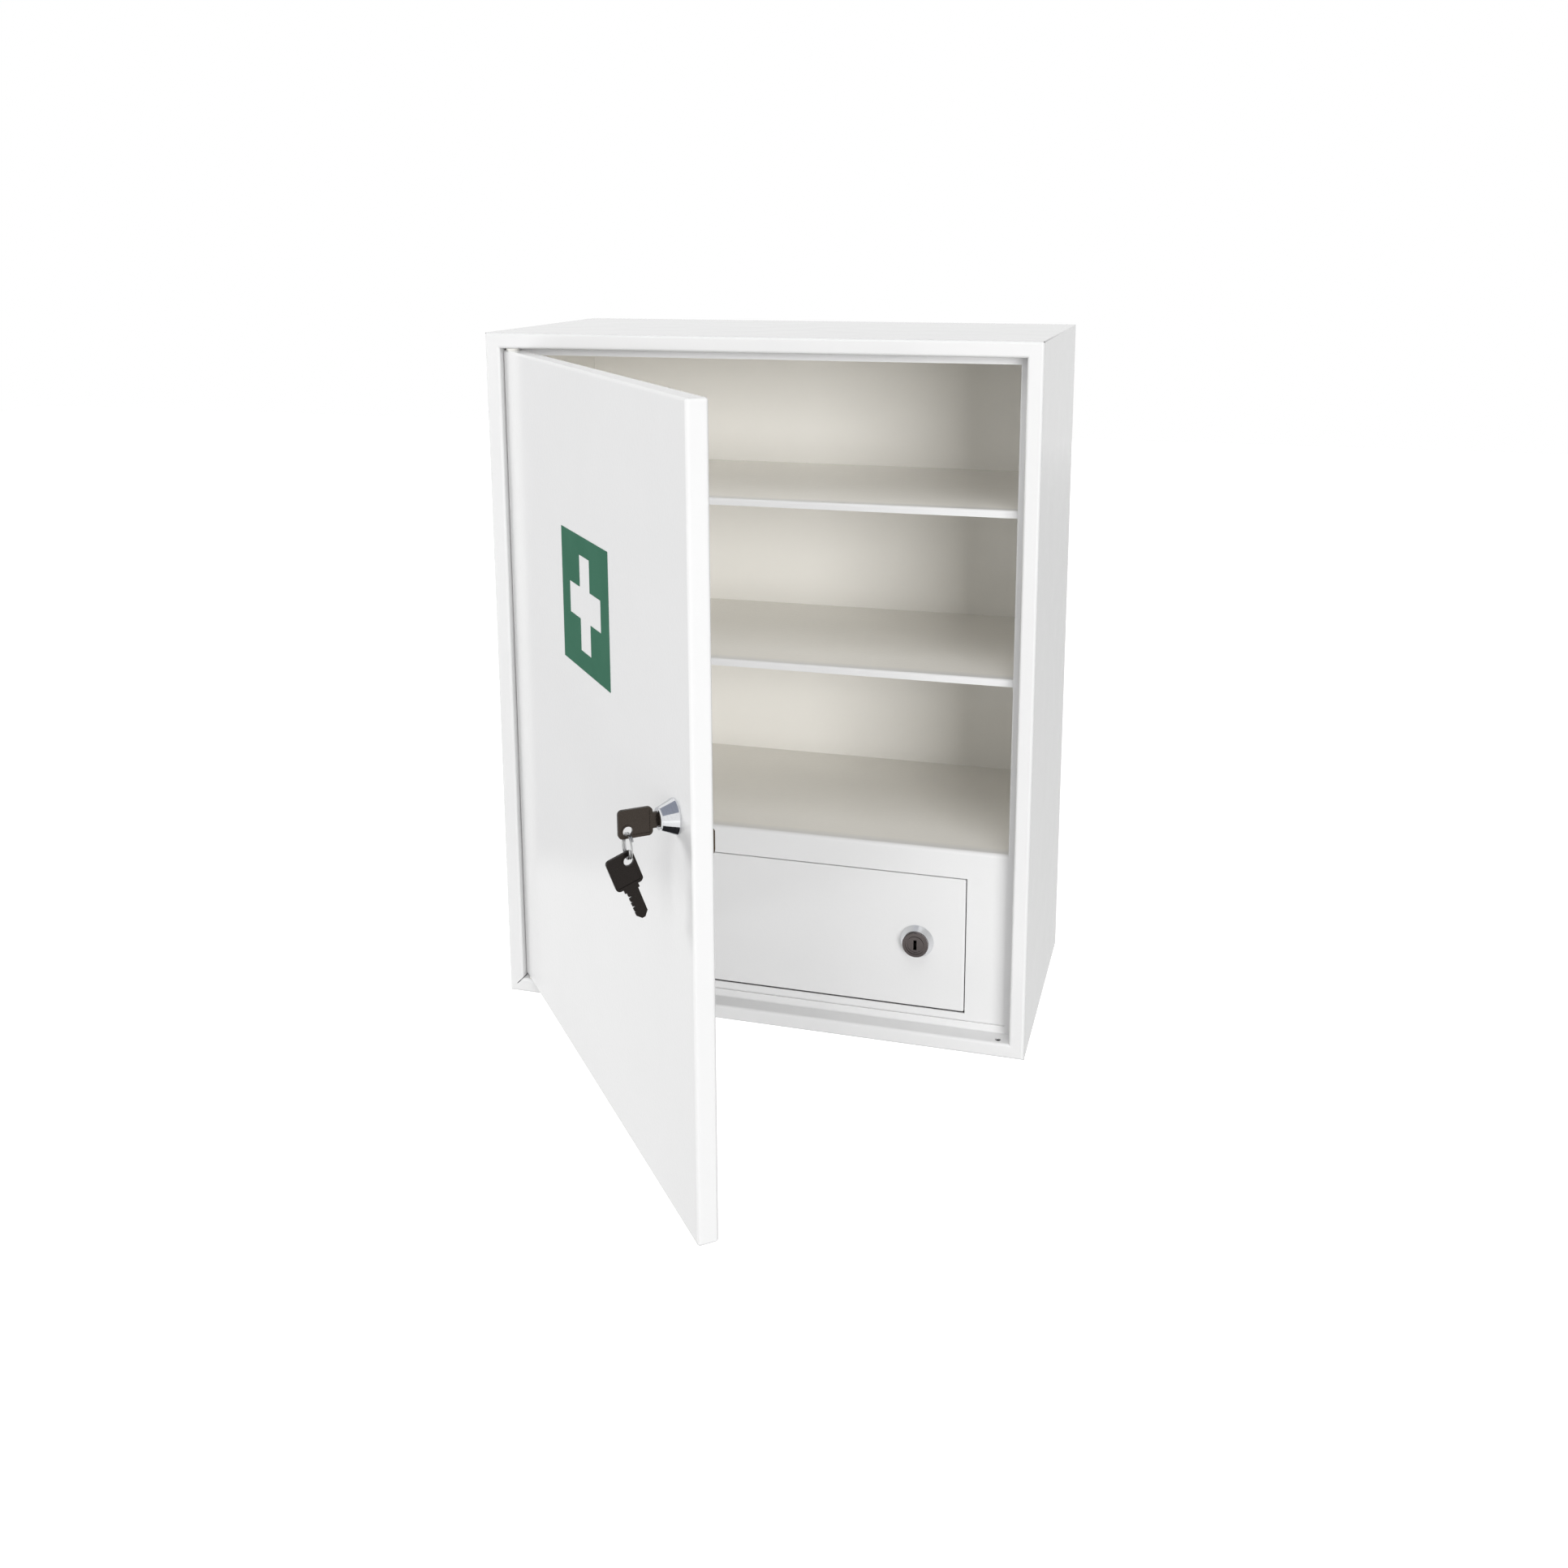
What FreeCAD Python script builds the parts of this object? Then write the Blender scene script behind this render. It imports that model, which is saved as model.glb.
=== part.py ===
import FreeCAD, Part
import os
import re
import Sketcher

os.makedirs("parts", exist_ok=True)
doc = FreeCAD.newDocument("medicine_cabinet")

# Lengths in millimetres, angles in degrees.
SIZES = {
    "cabinet_width": 400,
    "cabinet_height": 510,
    "cabinet_depth": 200,
    "sheet_steel": 1,
    "bend_radius": 2,
    "frame_face": 11,
    "stop_width": 5.5,
    "slit_width": 0.8,
    "slit_reach": 5,
    "wall_hole_diameter": 8,
    "wall_hole_side": 40,
    "wall_hole_end": 27,
    "door_gap": 1.6,
    "door_thickness": 13,
    "door_clearance": 2.2,
    "door_lip": 11,
    "door_rest_angle": 50,
    "pivot_inset": 8.3,
    "pivot_depth": 5.5,
    "pin_diameter": 4,
    "pin_fit": 0.05,
    "pin_reach": 3,
    "pin_head_diameter": 7,
    "pin_head_height": 1.2,
    "washer_diameter": 9.5,
    "washer_slack": 0.15,
    "washer_play": 0.1,
    "shelf_setback": 0.5,
    "shelf_lip": 5.2,
    "shelf_flange": 12,
    "cover_level": 147,
    "cover_bend": 3,
    "cover_foot": 12,
    "hatch_margin": 45.7,
    "hatch_headroom": 21,
    "hatch_sill": 22,
    "hatch_gap": 0.8,
    "hatch_flange": 10,
    "hatch_bend": 1.2,
    "hatch_pivot_inset": 8.5,
    "hatch_pivot_depth": 5.5,
    "bracket_steel": 1.5,
    "bracket_length": 22,
    "bracket_height": 12,
    "bracket_reach": 11,
    "bracket_rise": 0.3,
    "hatch_pin_diameter": 3,
    "hatch_pin_head": 5,
    "hatch_pin_reach": 2,
    "strike_offset": 2,
    "strike_width": 10,
    "strike_height": 30,
    "strike_reach": 9.5,
    "sign_width": 98,
    "sign_height": 88,
    "sign_film": 0.3,
    "sign_rise": 93,
    "cross_width": 66,
    "cross_height": 63,
    "cross_upright": 22,
    "cross_bar": 21,
    "plug_fit": 0.05,
    "thread_slack": 0.05,
    "plug_recess": 0.3,
    "cam_steel": 2,
    "cam_play": 0.2,
    "cam_hole_slack": 0.05,
    "screw_diameter": 4,
    "screw_depth": 8,
    "screw_head_diameter": 7.4,
    "screw_head_height": 1.8,
    "screw_slot_width": 1.2,
    "screw_slot_depth": 0.9,
    "main_lock_inset": 25.8,
    "main_lock_rise": 8.5,
    "main_rosette_base": 21,
    "main_rosette_rim": 1,
    "main_rosette_front": 13.4,
    "main_rosette_height": 9.4,
    "main_head_diameter": 13.2,
    "main_head_height": 1,
    "main_body_diameter": 12,
    "main_body_length": 17.3,
    "main_plug_diameter": 9,
    "main_tail_width": 5.6,
    "main_nut_across": 17,
    "main_nut_height": 4,
    "main_cam_width": 11,
    "main_cam_top": 6,
    "main_cam_knee": 7,
    "main_cam_run": 3,
    "main_cam_crank": 1.8,
    "main_cam_reach": 25,
    "hatch_lock_inset": 35.9,
    "hatch_rosette_base": 24.8,
    "hatch_rosette_rim": 0.8,
    "hatch_rosette_front": 19.8,
    "hatch_rosette_height": 5.5,
    "hatch_head_diameter": 19,
    "hatch_head_height": 2,
    "hatch_body_diameter": 16,
    "hatch_body_length": 12.3,
    "hatch_plug_diameter": 11,
    "hatch_tail_width": 6.4,
    "hatch_nut_across": 21,
    "hatch_nut_height": 4,
    "hatch_cam_width": 14,
    "hatch_cam_top": 8,
    "hatch_cam_reach": 42,
    "head_chamfer": 0.4,
    "groove_radius": 7.2,
    "groove_width": 0.9,
    "groove_depth": 0.5,
    "key_thickness": 1.9,
    "key_bow_start": 13.5,
    "key_bow_length": 20,
    "key_bow_height": 16.5,
    "key_bow_corner": 2.6,
    "key_rim": 1.7,
    "key_recess": 0.3,
    "key_hole_diameter": 5.6,
    "key_hole_inset": 5.5,
    "key_hole_lift": 4.1,
    "key_shoulder_length": 2.4,
    "key_shoulder_height": 9,
    "key_blade_length": 20.5,
    "key_blade_height": 7,
    "key_tip_length": 3,
    "key_tip_height": 2,
    "key_cut_pitch": 3.2,
    "keyway_slack": 0.2,
    "keyway_depth": 18,
    "ring_radius": 7,
    "ring_wire_radius": 0.55,
    "ring_pitch": 1.2,
    "ring_seat": 1.6,
    "spare_key_hang": 69.8,
    "cut_overrun": 1,
}
UPPER_SHELF_SHARE = 0.682
LOWER_SHELF_SHARE = 0.355
KEY_CUT_SHARES = (0.12, 0.24, 0.16, 0.28)
RING_TURNS = 1.9
MATCH_SHARE = 0.001
CAM_ROUND_SHARE = 0.45
FULL_TURN = 360
HALF_TURN = 180
HEX_START = 15
HEX_STEP = 60

sheet = doc.addObject("Spreadsheet::Sheet", "Sizes")
for row, (name, value) in enumerate(SIZES.items(), start=1):
    sheet.set(f"A{row}", name)
    sheet.set(f"B{row}", str(value))
    sheet.setAlias(f"B{row}", name)
doc.recompute()

# Cabinet frame: origin in the middle of the outer back.
# X points right seen from the front, Y into the wall and Z up.
HALF_WIDTH = "cabinet_width / 2"
HALF_HEIGHT = "cabinet_height / 2"
FRONT = "-cabinet_depth"
STOP_FACE = "(door_thickness + door_clearance - cabinet_depth)"
STOP_BACK = f"({STOP_FACE} + sheet_steel)"
DOOR_ACROSS = "(cabinet_width / 2 - frame_face - door_gap)"
DOOR_UP = "(cabinet_height / 2 - frame_face - door_gap)"
PIVOT_X = "(pivot_inset + frame_face - cabinet_width / 2)"
PIVOT_Y = "(pivot_depth - cabinet_depth)"
INSIDE_FRONT = f"({STOP_BACK} + shelf_setback)"
HATCH_SILL = "(hatch_sill - cabinet_height / 2)"
HATCH_TOP = "(cover_level - hatch_headroom - cabinet_height / 2)"
HATCH_HALF = "(cabinet_width / 2 - hatch_margin)"
HATCH_ACROSS = f"({HATCH_HALF} - hatch_gap)"
HATCH_PIVOT_X = f"(hatch_pivot_inset - {HATCH_ACROSS})"
HATCH_PIVOT_Y = f"({INSIDE_FRONT} + hatch_pivot_depth)"
HATCH_LOCK_X = f"({HATCH_HALF} - hatch_lock_inset)"
HATCH_LOCK_Z = f"(({HATCH_SILL} + {HATCH_TOP}) / 2)"

pieces = []


def size(expression):
    """Number that an expression over the sheet's names stands for."""
    return float(sheet.evalExpression(expression))


def bound(expression):
    """The expression as another object reads it, with the sheet named before each size."""
    return re.sub(r"[a-z]+(?:_[a-z]+)+", lambda found: f"{sheet.Name}.{found.group()}", expression)


def bind(item, path, expression):
    item.setExpression(path, bound(expression))


def make_body(label):
    body = doc.addObject("PartDesign::Body", label)
    body.Label = label
    pieces.append(body)
    return body


def pin_point(sketch, curve, point, across, along):
    """Hold one point of a sketch at the two coordinates given as expressions."""
    for kind, axis, expression in (("DistanceX", -2, across), ("DistanceY", -1, along)):
        if expression == "0":
            sketch.addConstraint(Sketcher.Constraint("PointOnObject", curve, point, axis))
        else:
            datum = Sketcher.Constraint(kind, -1, 1, curve, point, size(expression))
            bind(sketch, f"Constraints[{sketch.addConstraint(datum)}]", expression)


def add_polygon(sketch, points):
    corners = [FreeCAD.Vector(size(across), size(along), 0) for across, along in points]
    first = sketch.GeometryCount
    for number, corner in enumerate(corners):
        sketch.addGeometry(Part.LineSegment(corner, corners[(number + 1) % len(corners)]))
    for number, (across, along) in enumerate(points):
        following = first + (number + 1) % len(points)
        sketch.addConstraint(Sketcher.Constraint("Coincident", first + number, 2, following, 1))
        pin_point(sketch, first + number, 1, across, along)


def add_circle(sketch, across, along, diameter):
    centre = FreeCAD.Vector(size(across), size(along), 0)
    circle = sketch.addGeometry(Part.Circle(centre, FreeCAD.Vector(0, 0, 1), size(diameter) / 2))
    pin_point(sketch, circle, 3, across, along)
    datum = sketch.addConstraint(Sketcher.Constraint("Diameter", circle, size(diameter)))
    bind(sketch, f"Constraints[{datum}]", diameter)


def rectangle(low_across, high_across, low_along, high_along):
    return [
        (low_across, low_along),
        (high_across, low_along),
        (high_across, high_along),
        (low_across, high_along),
    ]


def make_sketch(body, plane, level, polygons=(), circles=()):
    """Sketch on an origin plane moved to a level along the axis that the plane faces."""
    sketch = body.newObject("Sketcher::SketchObject", "Outline")
    support = next(item for item in body.Origin.OriginFeatures if item.Role == plane)
    sketch.AttachmentSupport = [(support, "")]
    sketch.MapMode = "FlatFace"
    if level != "0":
        facing = "-1" if plane == "XZ_Plane" else "1"
        bind(sketch, "AttachmentOffset.Base.z", f"{facing} * ({level})")
    for points in polygons:
        add_polygon(sketch, points)
    for circle in circles:
        add_circle(sketch, *circle)
    doc.recompute()
    return sketch


def pad(body, plane, level, length, polygons=(), circles=()):
    """Add material from the sketch; XZ sketches grow towards the front, the others along their axis."""
    feature = body.newObject("PartDesign::Pad", "Pad")
    feature.Profile = make_sketch(body, plane, level, polygons, circles)
    bind(feature, "Length", length)
    doc.recompute()
    return feature


def pocket(body, plane, level, length, polygons=(), circles=(), forward=False):
    """Cut from the sketch, against the way that a pad on it would grow unless forward."""
    before = body.Shape.Volume
    feature = body.newObject("PartDesign::Pocket", "Pocket")
    feature.Profile = make_sketch(body, plane, level, polygons, circles)
    bind(feature, "Length", length)
    feature.Reversed = forward
    doc.recompute()
    if body.Shape.Volume >= before:
        raise RuntimeError(f"nothing was cut from {body.Label}")
    return feature


def turn(body, plane, points):
    """Solid turned about the sketch's upright axis."""
    feature = body.newObject("PartDesign::Revolution", "Turn")
    sketch = make_sketch(body, plane, "0", [points])
    feature.Profile = sketch
    feature.ReferenceAxis = (sketch, ["V_Axis"])
    feature.Angle = FULL_TURN
    doc.recompute()
    return feature


def round_edges(body, radius, chosen):
    """Round those edges of the body's last feature whose middle and direction pass the test."""
    base = body.Tip
    names = []
    for number, edge in enumerate(base.Shape.Edges, start=1):
        straight = not edge.Degenerated and edge.Curve.TypeId == "Part::GeomLine"
        if straight and chosen(edge.CenterOfMass, edge.tangentAt(edge.FirstParameter)):
            names.append(f"Edge{number}")
    if not names:
        raise RuntimeError(f"no edge to round on {body.Label}")
    feature = body.newObject("PartDesign::Fillet", "Round")
    feature.Base = (base, names)
    bind(feature, "Radius", radius)
    doc.recompute()
    return feature


def near(value, expression):
    return abs(value - size(expression)) < size("sheet_steel") * MATCH_SHARE


def along_axis(direction, axis):
    return abs(abs(getattr(direction, axis)) - 1) < MATCH_SHARE


def at_corners(axis, first, second, corners):
    """Test for edges along an axis that pass through any of the corners given in the other two axes."""
    def chosen(middle, direction):
        return along_axis(direction, axis) and any(
            near(getattr(middle, first), one) and near(getattr(middle, second), other)
            for one, other in corners)
    return chosen


def moved(across, depth, up):
    return FreeCAD.Placement(FreeCAD.Vector(size(across), size(depth), size(up)), FreeCAD.Rotation())


def turned(axis, angle):
    return FreeCAD.Placement(FreeCAD.Vector(), FreeCAD.Rotation(axis, angle))


# Carcass: four folded sides mitred at the corners.
def frame_profile(side, half):
    """Section of a folded side: wall, front face, jamb and door stop, as (outward, depth) corners."""
    def out(inset):
        return f"{side} * ({half} - ({inset}))"

    return [
        (f"{side} * {half}", "0"),
        (f"{side} * {half}", FRONT),
        (out("frame_face"), FRONT),
        (out("frame_face"), STOP_FACE),
        (out("frame_face + stop_width"), STOP_FACE),
        (out("frame_face + stop_width"), STOP_BACK),
        (out("frame_face - sheet_steel"), STOP_BACK),
        (out("frame_face - sheet_steel"), f"{FRONT} + sheet_steel"),
        (out("sheet_steel"), f"{FRONT} + sheet_steel"),
        (out("sheet_steel"), "0"),
    ]


OUTER_BENDS = (1, 2, 6)
INNER_BENDS = (3, 7, 8)
MITRE = "(frame_face + 2 * stop_width)"


def corner_spot(side, end, inward, onward):
    """Point of the front view, measured inwards from a corner of the cabinet."""
    return (f"{side} * ({HALF_WIDTH} - ({inward}))", f"{end} * ({HALF_HEIGHT} - ({onward}))")


def mitre_above(side, end):
    """Corner area outside the mitre of an upright side."""
    return [
        corner_spot(side, end, "-cut_overrun", "-cut_overrun"),
        corner_spot(side, end, MITRE, MITRE),
        corner_spot(side, end, MITRE, "-cut_overrun"),
    ]


def mitre_beside(side, end):
    """Corner area outside the mitre of a top or bottom side."""
    return [
        corner_spot(side, end, "-cut_overrun", "-cut_overrun"),
        corner_spot(side, end, MITRE, MITRE),
        corner_spot(side, end, "-cut_overrun", MITRE),
    ]


def mitre_slit(side, end):
    """Strip along the inner part of a mitre, where the two sides stand apart."""
    start = "frame_face - slit_reach"
    return [
        corner_spot(side, end, start, start),
        corner_spot(side, end, start, f"{start} + slit_width"),
        corner_spot(side, end, MITRE, f"{MITRE} + slit_width"),
        corner_spot(side, end, MITRE, MITRE),
    ]


for label, side in (("left_side", "-1"), ("right_side", "1")):
    panel = make_body(label)
    profile = frame_profile(side, HALF_WIDTH)
    pad(panel, "XY_Plane", f"-{HALF_HEIGHT}", "cabinet_height", [profile])
    round_edges(panel, "bend_radius", at_corners("z", "x", "y", [profile[bend] for bend in OUTER_BENDS]))
    round_edges(panel, "bend_radius - sheet_steel",
                at_corners("z", "x", "y", [profile[bend] for bend in INNER_BENDS]))
    pocket(panel, "XZ_Plane", "0", "cabinet_depth + cut_overrun",
           [mitre_above(side, "1"), mitre_above(side, "-1")], forward=True)
    if label == "left_side":
        pocket(panel, "XZ_Plane", "0", "cabinet_depth + cut_overrun", [mitre_slit(side, "-1")], forward=True)

for label, end in (("top_panel", "1"), ("bottom_panel", "-1")):
    panel = make_body(label)
    profile = frame_profile(end, HALF_HEIGHT)
    pad(panel, "YZ_Plane", f"-{HALF_WIDTH}", "cabinet_width", [[(depth, up) for up, depth in profile]])
    round_edges(panel, "bend_radius", at_corners("x", "z", "y", [profile[bend] for bend in OUTER_BENDS]))
    round_edges(panel, "bend_radius - sheet_steel",
                at_corners("x", "z", "y", [profile[bend] for bend in INNER_BENDS]))
    pocket(panel, "XZ_Plane", "0", "cabinet_depth + cut_overrun",
           [mitre_beside("-1", end), mitre_beside("1", end)], forward=True)
    jamb_top = f"{end} * ({HALF_HEIGHT} - frame_face + sheet_steel / 2) + sheet_steel / 2 + cut_overrun"
    pocket(panel, "XY_Plane", jamb_top, "sheet_steel + 2 * cut_overrun",
           circles=[(PIVOT_X, PIVOT_Y, "pin_diameter"), (f"-{PIVOT_X}", PIVOT_Y, "pin_diameter")])

back = make_body("back_panel")
wall_holes = [
    (f"{side} * ({HALF_WIDTH} - wall_hole_side)",
     f"{end} * ({HALF_HEIGHT} - wall_hole_end)",
     "wall_hole_diameter")
    for side in ("-1", "1") for end in ("-1", "1")]
pad(back, "XZ_Plane", "0", "sheet_steel",
    [rectangle(f"sheet_steel - {HALF_WIDTH}", f"{HALF_WIDTH} - sheet_steel",
               f"sheet_steel - {HALF_HEIGHT}", f"{HALF_HEIGHT} - sheet_steel")], wall_holes)

# Shelves: a plate with its front edge and both ends turned down.
# Each stands at a share of the height above the compartment.
for label, share in (("upper_shelf", UPPER_SHELF_SHARE), ("lower_shelf", LOWER_SHELF_SHARE)):
    shelf = make_body(label)
    end = f"({HALF_WIDTH} - sheet_steel)"
    top = f"(cover_level + (cabinet_height - cover_level) * {share} - {HALF_HEIGHT})"
    pad(shelf, "XY_Plane", f"{top} - sheet_steel", "sheet_steel",
        [rectangle(f"-{end}", end, INSIDE_FRONT, "-sheet_steel")])
    pad(shelf, "XY_Plane", f"{top} - shelf_lip", "shelf_lip",
        [rectangle(f"-{end}", end, INSIDE_FRONT, f"{INSIDE_FRONT} + sheet_steel")])
    for side in ("-1", "1"):
        pad(shelf, "XY_Plane", f"{top} - shelf_flange", "shelf_flange",
            [rectangle(f"{side} * {end}", f"{side} * ({end} - sheet_steel)",
                       f"{INSIDE_FRONT} + 2 * shelf_flange", "-shelf_flange")])
    round_edges(shelf, "bend_radius", at_corners("x", "y", "z", [(INSIDE_FRONT, top)]))

# Cover of the locked compartment: top, front and a foot on the floor, with the hatch cut in the front.
cover = make_body("compartment_cover")
COVER_TOP = f"(cover_level - {HALF_HEIGHT})"
FLOOR = f"(sheet_steel - {HALF_HEIGHT})"
cover_corners = [
    (INSIDE_FRONT, COVER_TOP),
    ("-sheet_steel", COVER_TOP),
    ("-sheet_steel", f"{COVER_TOP} - sheet_steel"),
    (f"{INSIDE_FRONT} + sheet_steel", f"{COVER_TOP} - sheet_steel"),
    (f"{INSIDE_FRONT} + sheet_steel", f"{FLOOR} + sheet_steel"),
    (f"{INSIDE_FRONT} + cover_foot", f"{FLOOR} + sheet_steel"),
    (f"{INSIDE_FRONT} + cover_foot", FLOOR),
    (INSIDE_FRONT, FLOOR),
]
pad(cover, "YZ_Plane", f"sheet_steel - {HALF_WIDTH}", "cabinet_width - 2 * sheet_steel", [cover_corners])
round_edges(cover, "cover_bend", at_corners("x", "y", "z", [cover_corners[0]]))
round_edges(cover, "cover_bend - sheet_steel", at_corners("x", "y", "z", [cover_corners[3]]))
pocket(cover, "XZ_Plane", f"{INSIDE_FRONT} + sheet_steel + cut_overrun", "sheet_steel + 2 * cut_overrun",
       [rectangle(f"-{HATCH_HALF}", HATCH_HALF, HATCH_SILL, HATCH_TOP)], forward=True)

strike = make_body("compartment_strike")
STRIKE_X = f"({HATCH_HALF} + strike_offset)"
COVER_BACK = f"({INSIDE_FRONT} + sheet_steel)"
pad(strike, "XY_Plane", f"{HATCH_LOCK_Z} - strike_height / 2", "strike_height", [[
    (STRIKE_X, COVER_BACK),
    (f"{STRIKE_X} + strike_width", COVER_BACK),
    (f"{STRIKE_X} + strike_width", f"{COVER_BACK} + bracket_steel"),
    (f"{STRIKE_X} + bracket_steel", f"{COVER_BACK} + bracket_steel"),
    (f"{STRIKE_X} + bracket_steel", f"{COVER_BACK} + strike_reach"),
    (STRIKE_X, f"{COVER_BACK} + strike_reach"),
]])
round_edges(strike, "bend_radius", at_corners("z", "x", "y", [(STRIKE_X, COVER_BACK)]))

# Pivots of the hatch: an angle behind the cover above and below it, each with a headed pin.
for label, end, edge in (("upper", "1", HATCH_TOP), ("lower", "-1", HATCH_SILL)):
    def up(rise):
        return f"{edge} + {end} * ({rise})"

    bracket = make_body(f"compartment_{label}_bracket")
    angle_corners = [
        (COVER_BACK, up("bracket_rise")),
        (f"{COVER_BACK} + bracket_reach", up("bracket_rise")),
        (f"{COVER_BACK} + bracket_reach", up("bracket_rise + bracket_steel")),
        (f"{COVER_BACK} + bracket_steel", up("bracket_rise + bracket_steel")),
        (f"{COVER_BACK} + bracket_steel", up("bracket_rise + bracket_height")),
        (COVER_BACK, up("bracket_rise + bracket_height")),
    ]
    pad(bracket, "YZ_Plane", f"{HATCH_PIVOT_X} - bracket_length / 2", "bracket_length", [angle_corners])
    round_edges(bracket, "bend_radius", at_corners("x", "y", "z", [angle_corners[0]]))
    middle = up("bracket_rise + bracket_steel / 2")
    bracket_top = f"{middle} + bracket_steel / 2"
    pocket(bracket, "XY_Plane", f"{bracket_top} + cut_overrun", "bracket_steel + 2 * cut_overrun",
           circles=[(HATCH_PIVOT_X, HATCH_PIVOT_Y, "hatch_pin_diameter")])

    pin = make_body(f"compartment_{label}_pin")
    below = f"-{end} * (bracket_rise + hatch_gap + sheet_steel + hatch_pin_reach)"
    turn(pin, "XZ_Plane", [
        ("0", below),
        ("hatch_pin_diameter / 2", below),
        ("hatch_pin_diameter / 2", f"{end} * bracket_steel"),
        ("hatch_pin_head / 2", f"{end} * bracket_steel"),
        ("hatch_pin_head / 2", f"{end} * (bracket_steel + pin_head_height)"),
        ("0", f"{end} * (bracket_steel + pin_head_height)"),
    ])
    pin.Placement = moved(HATCH_PIVOT_X, HATCH_PIVOT_Y, up("bracket_rise"))

# Pivots of the main door: headed pins through the top and bottom jambs, with a washer in each gap.
for label, end in (("upper", "1"), ("lower", "-1")):
    pin = make_body(f"{label}_hinge_pin")
    tip = f"-{end} * (door_gap + sheet_steel + pin_reach)"
    turn(pin, "XZ_Plane", [
        ("0", tip),
        ("pin_diameter / 2", tip),
        ("pin_diameter / 2", f"{end} * sheet_steel"),
        ("pin_head_diameter / 2", f"{end} * sheet_steel"),
        ("pin_head_diameter / 2", f"{end} * (sheet_steel + pin_head_height)"),
        ("0", f"{end} * (sheet_steel + pin_head_height)"),
    ])
    pin.Placement = moved(PIVOT_X, PIVOT_Y, f"{end} * ({HALF_HEIGHT} - frame_face)")

for label, base in (("upper_hinge_washer", DOOR_UP), ("lower_hinge_washer", f"frame_face - {HALF_HEIGHT}")):
    washer = make_body(label)
    pad(washer, "XY_Plane", base, "door_gap - washer_play",
        circles=[(PIVOT_X, PIVOT_Y, "washer_diameter"),
                 (PIVOT_X, PIVOT_Y, "pin_diameter + 2 * washer_slack")])

# Main door: a folded tray, drawn closed and then swung open about its pivots.
door = make_body("main_door")


def door_rectangle(inset):
    return rectangle(f"-({DOOR_ACROSS} - {inset})", f"{DOOR_ACROSS} - {inset}",
                     f"-({DOOR_UP} - {inset})", f"{DOOR_UP} - {inset}")


def tray_edges(across, low, high, front, rear):
    """Test for the twelve edges of a tray's box that spans the given expressions."""
    def chosen(middle, direction):
        flat = abs(direction.y) < MATCH_SHARE
        level_edge = near(middle.z, low) or near(middle.z, high)
        side_edge = near(middle.x, across) or near(middle.x, f"-{across}")
        end_edge = near(middle.y, front) or near(middle.y, rear)
        return end_edge and (level_edge or side_edge) if flat else level_edge and side_edge
    return chosen


DOOR_BACK = "(door_thickness - cabinet_depth)"
MAIN_LOCK_X = f"({DOOR_ACROSS} - main_lock_inset)"
MAIN_LOCK_Z = "main_lock_rise"
whole = rectangle(f"-{DOOR_ACROSS}", DOOR_ACROSS, f"-{DOOR_UP}", DOOR_UP)
pad(door, "XZ_Plane", f"{FRONT} + sheet_steel", "sheet_steel", [whole])
pad(door, "XZ_Plane", DOOR_BACK, "door_thickness", [whole, door_rectangle("sheet_steel")])
pad(door, "XZ_Plane", DOOR_BACK, "sheet_steel", [whole, door_rectangle("door_lip")])
round_edges(door, "bend_radius", tray_edges(DOOR_ACROSS, f"-{DOOR_UP}", DOOR_UP, FRONT, DOOR_BACK))
round_edges(door, "bend_radius - sheet_steel",
            tray_edges(f"({DOOR_ACROSS} - sheet_steel)", f"-({DOOR_UP} - sheet_steel)",
                       f"{DOOR_UP} - sheet_steel", f"{FRONT} + sheet_steel", f"{DOOR_BACK} - sheet_steel"))
pocket(door, "XZ_Plane", f"{FRONT} + sheet_steel + cut_overrun", "sheet_steel + 2 * cut_overrun",
       circles=[(MAIN_LOCK_X, MAIN_LOCK_Z, "main_body_diameter + 2 * thread_slack")], forward=True)
for skin_top in (f"{DOOR_UP} + cut_overrun", f"sheet_steel - {DOOR_UP} + cut_overrun"):
    pocket(door, "XY_Plane", skin_top, "sheet_steel + 2 * cut_overrun",
           circles=[(PIVOT_X, PIVOT_Y, "pin_diameter + 2 * pin_fit")])

sign = make_body("first_aid_sign")
SIGN_Z = "sign_rise"
cross_steps = [
    ("cross_upright", "cross_height"),
    ("cross_upright", "cross_bar"),
    ("cross_width", "cross_bar"),
]
cross = []
for side, end, steps in (("1", "1", 1), ("1", "-1", -1), ("-1", "-1", 1), ("-1", "1", -1)):
    for wide, tall in cross_steps[::steps]:
        cross.append((f"{side} * {wide} / 2", f"{SIGN_Z} + {end} * {tall} / 2"))
pad(sign, "XZ_Plane", FRONT, "sign_film",
    [rectangle("-sign_width / 2", "sign_width / 2",
               f"{SIGN_Z} - sign_height / 2", f"{SIGN_Z} + sign_height / 2"), cross])

# Hatch of the compartment: a shallow tray, flush with the cover.
hatch = make_body("compartment_door")
HATCH_LOW = f"({HATCH_SILL} + hatch_gap)"
HATCH_HIGH = f"({HATCH_TOP} - hatch_gap)"
leaf = rectangle(f"-{HATCH_ACROSS}", HATCH_ACROSS, HATCH_LOW, HATCH_HIGH)
inner = rectangle(f"sheet_steel - {HATCH_ACROSS}", f"{HATCH_ACROSS} - sheet_steel",
                  f"{HATCH_LOW} + sheet_steel", f"{HATCH_HIGH} - sheet_steel")
HATCH_BACK = f"({INSIDE_FRONT} + hatch_flange)"
pad(hatch, "XZ_Plane", f"{INSIDE_FRONT} + sheet_steel", "sheet_steel", [leaf])
pad(hatch, "XZ_Plane", HATCH_BACK, "hatch_flange", [leaf, inner])


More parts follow.
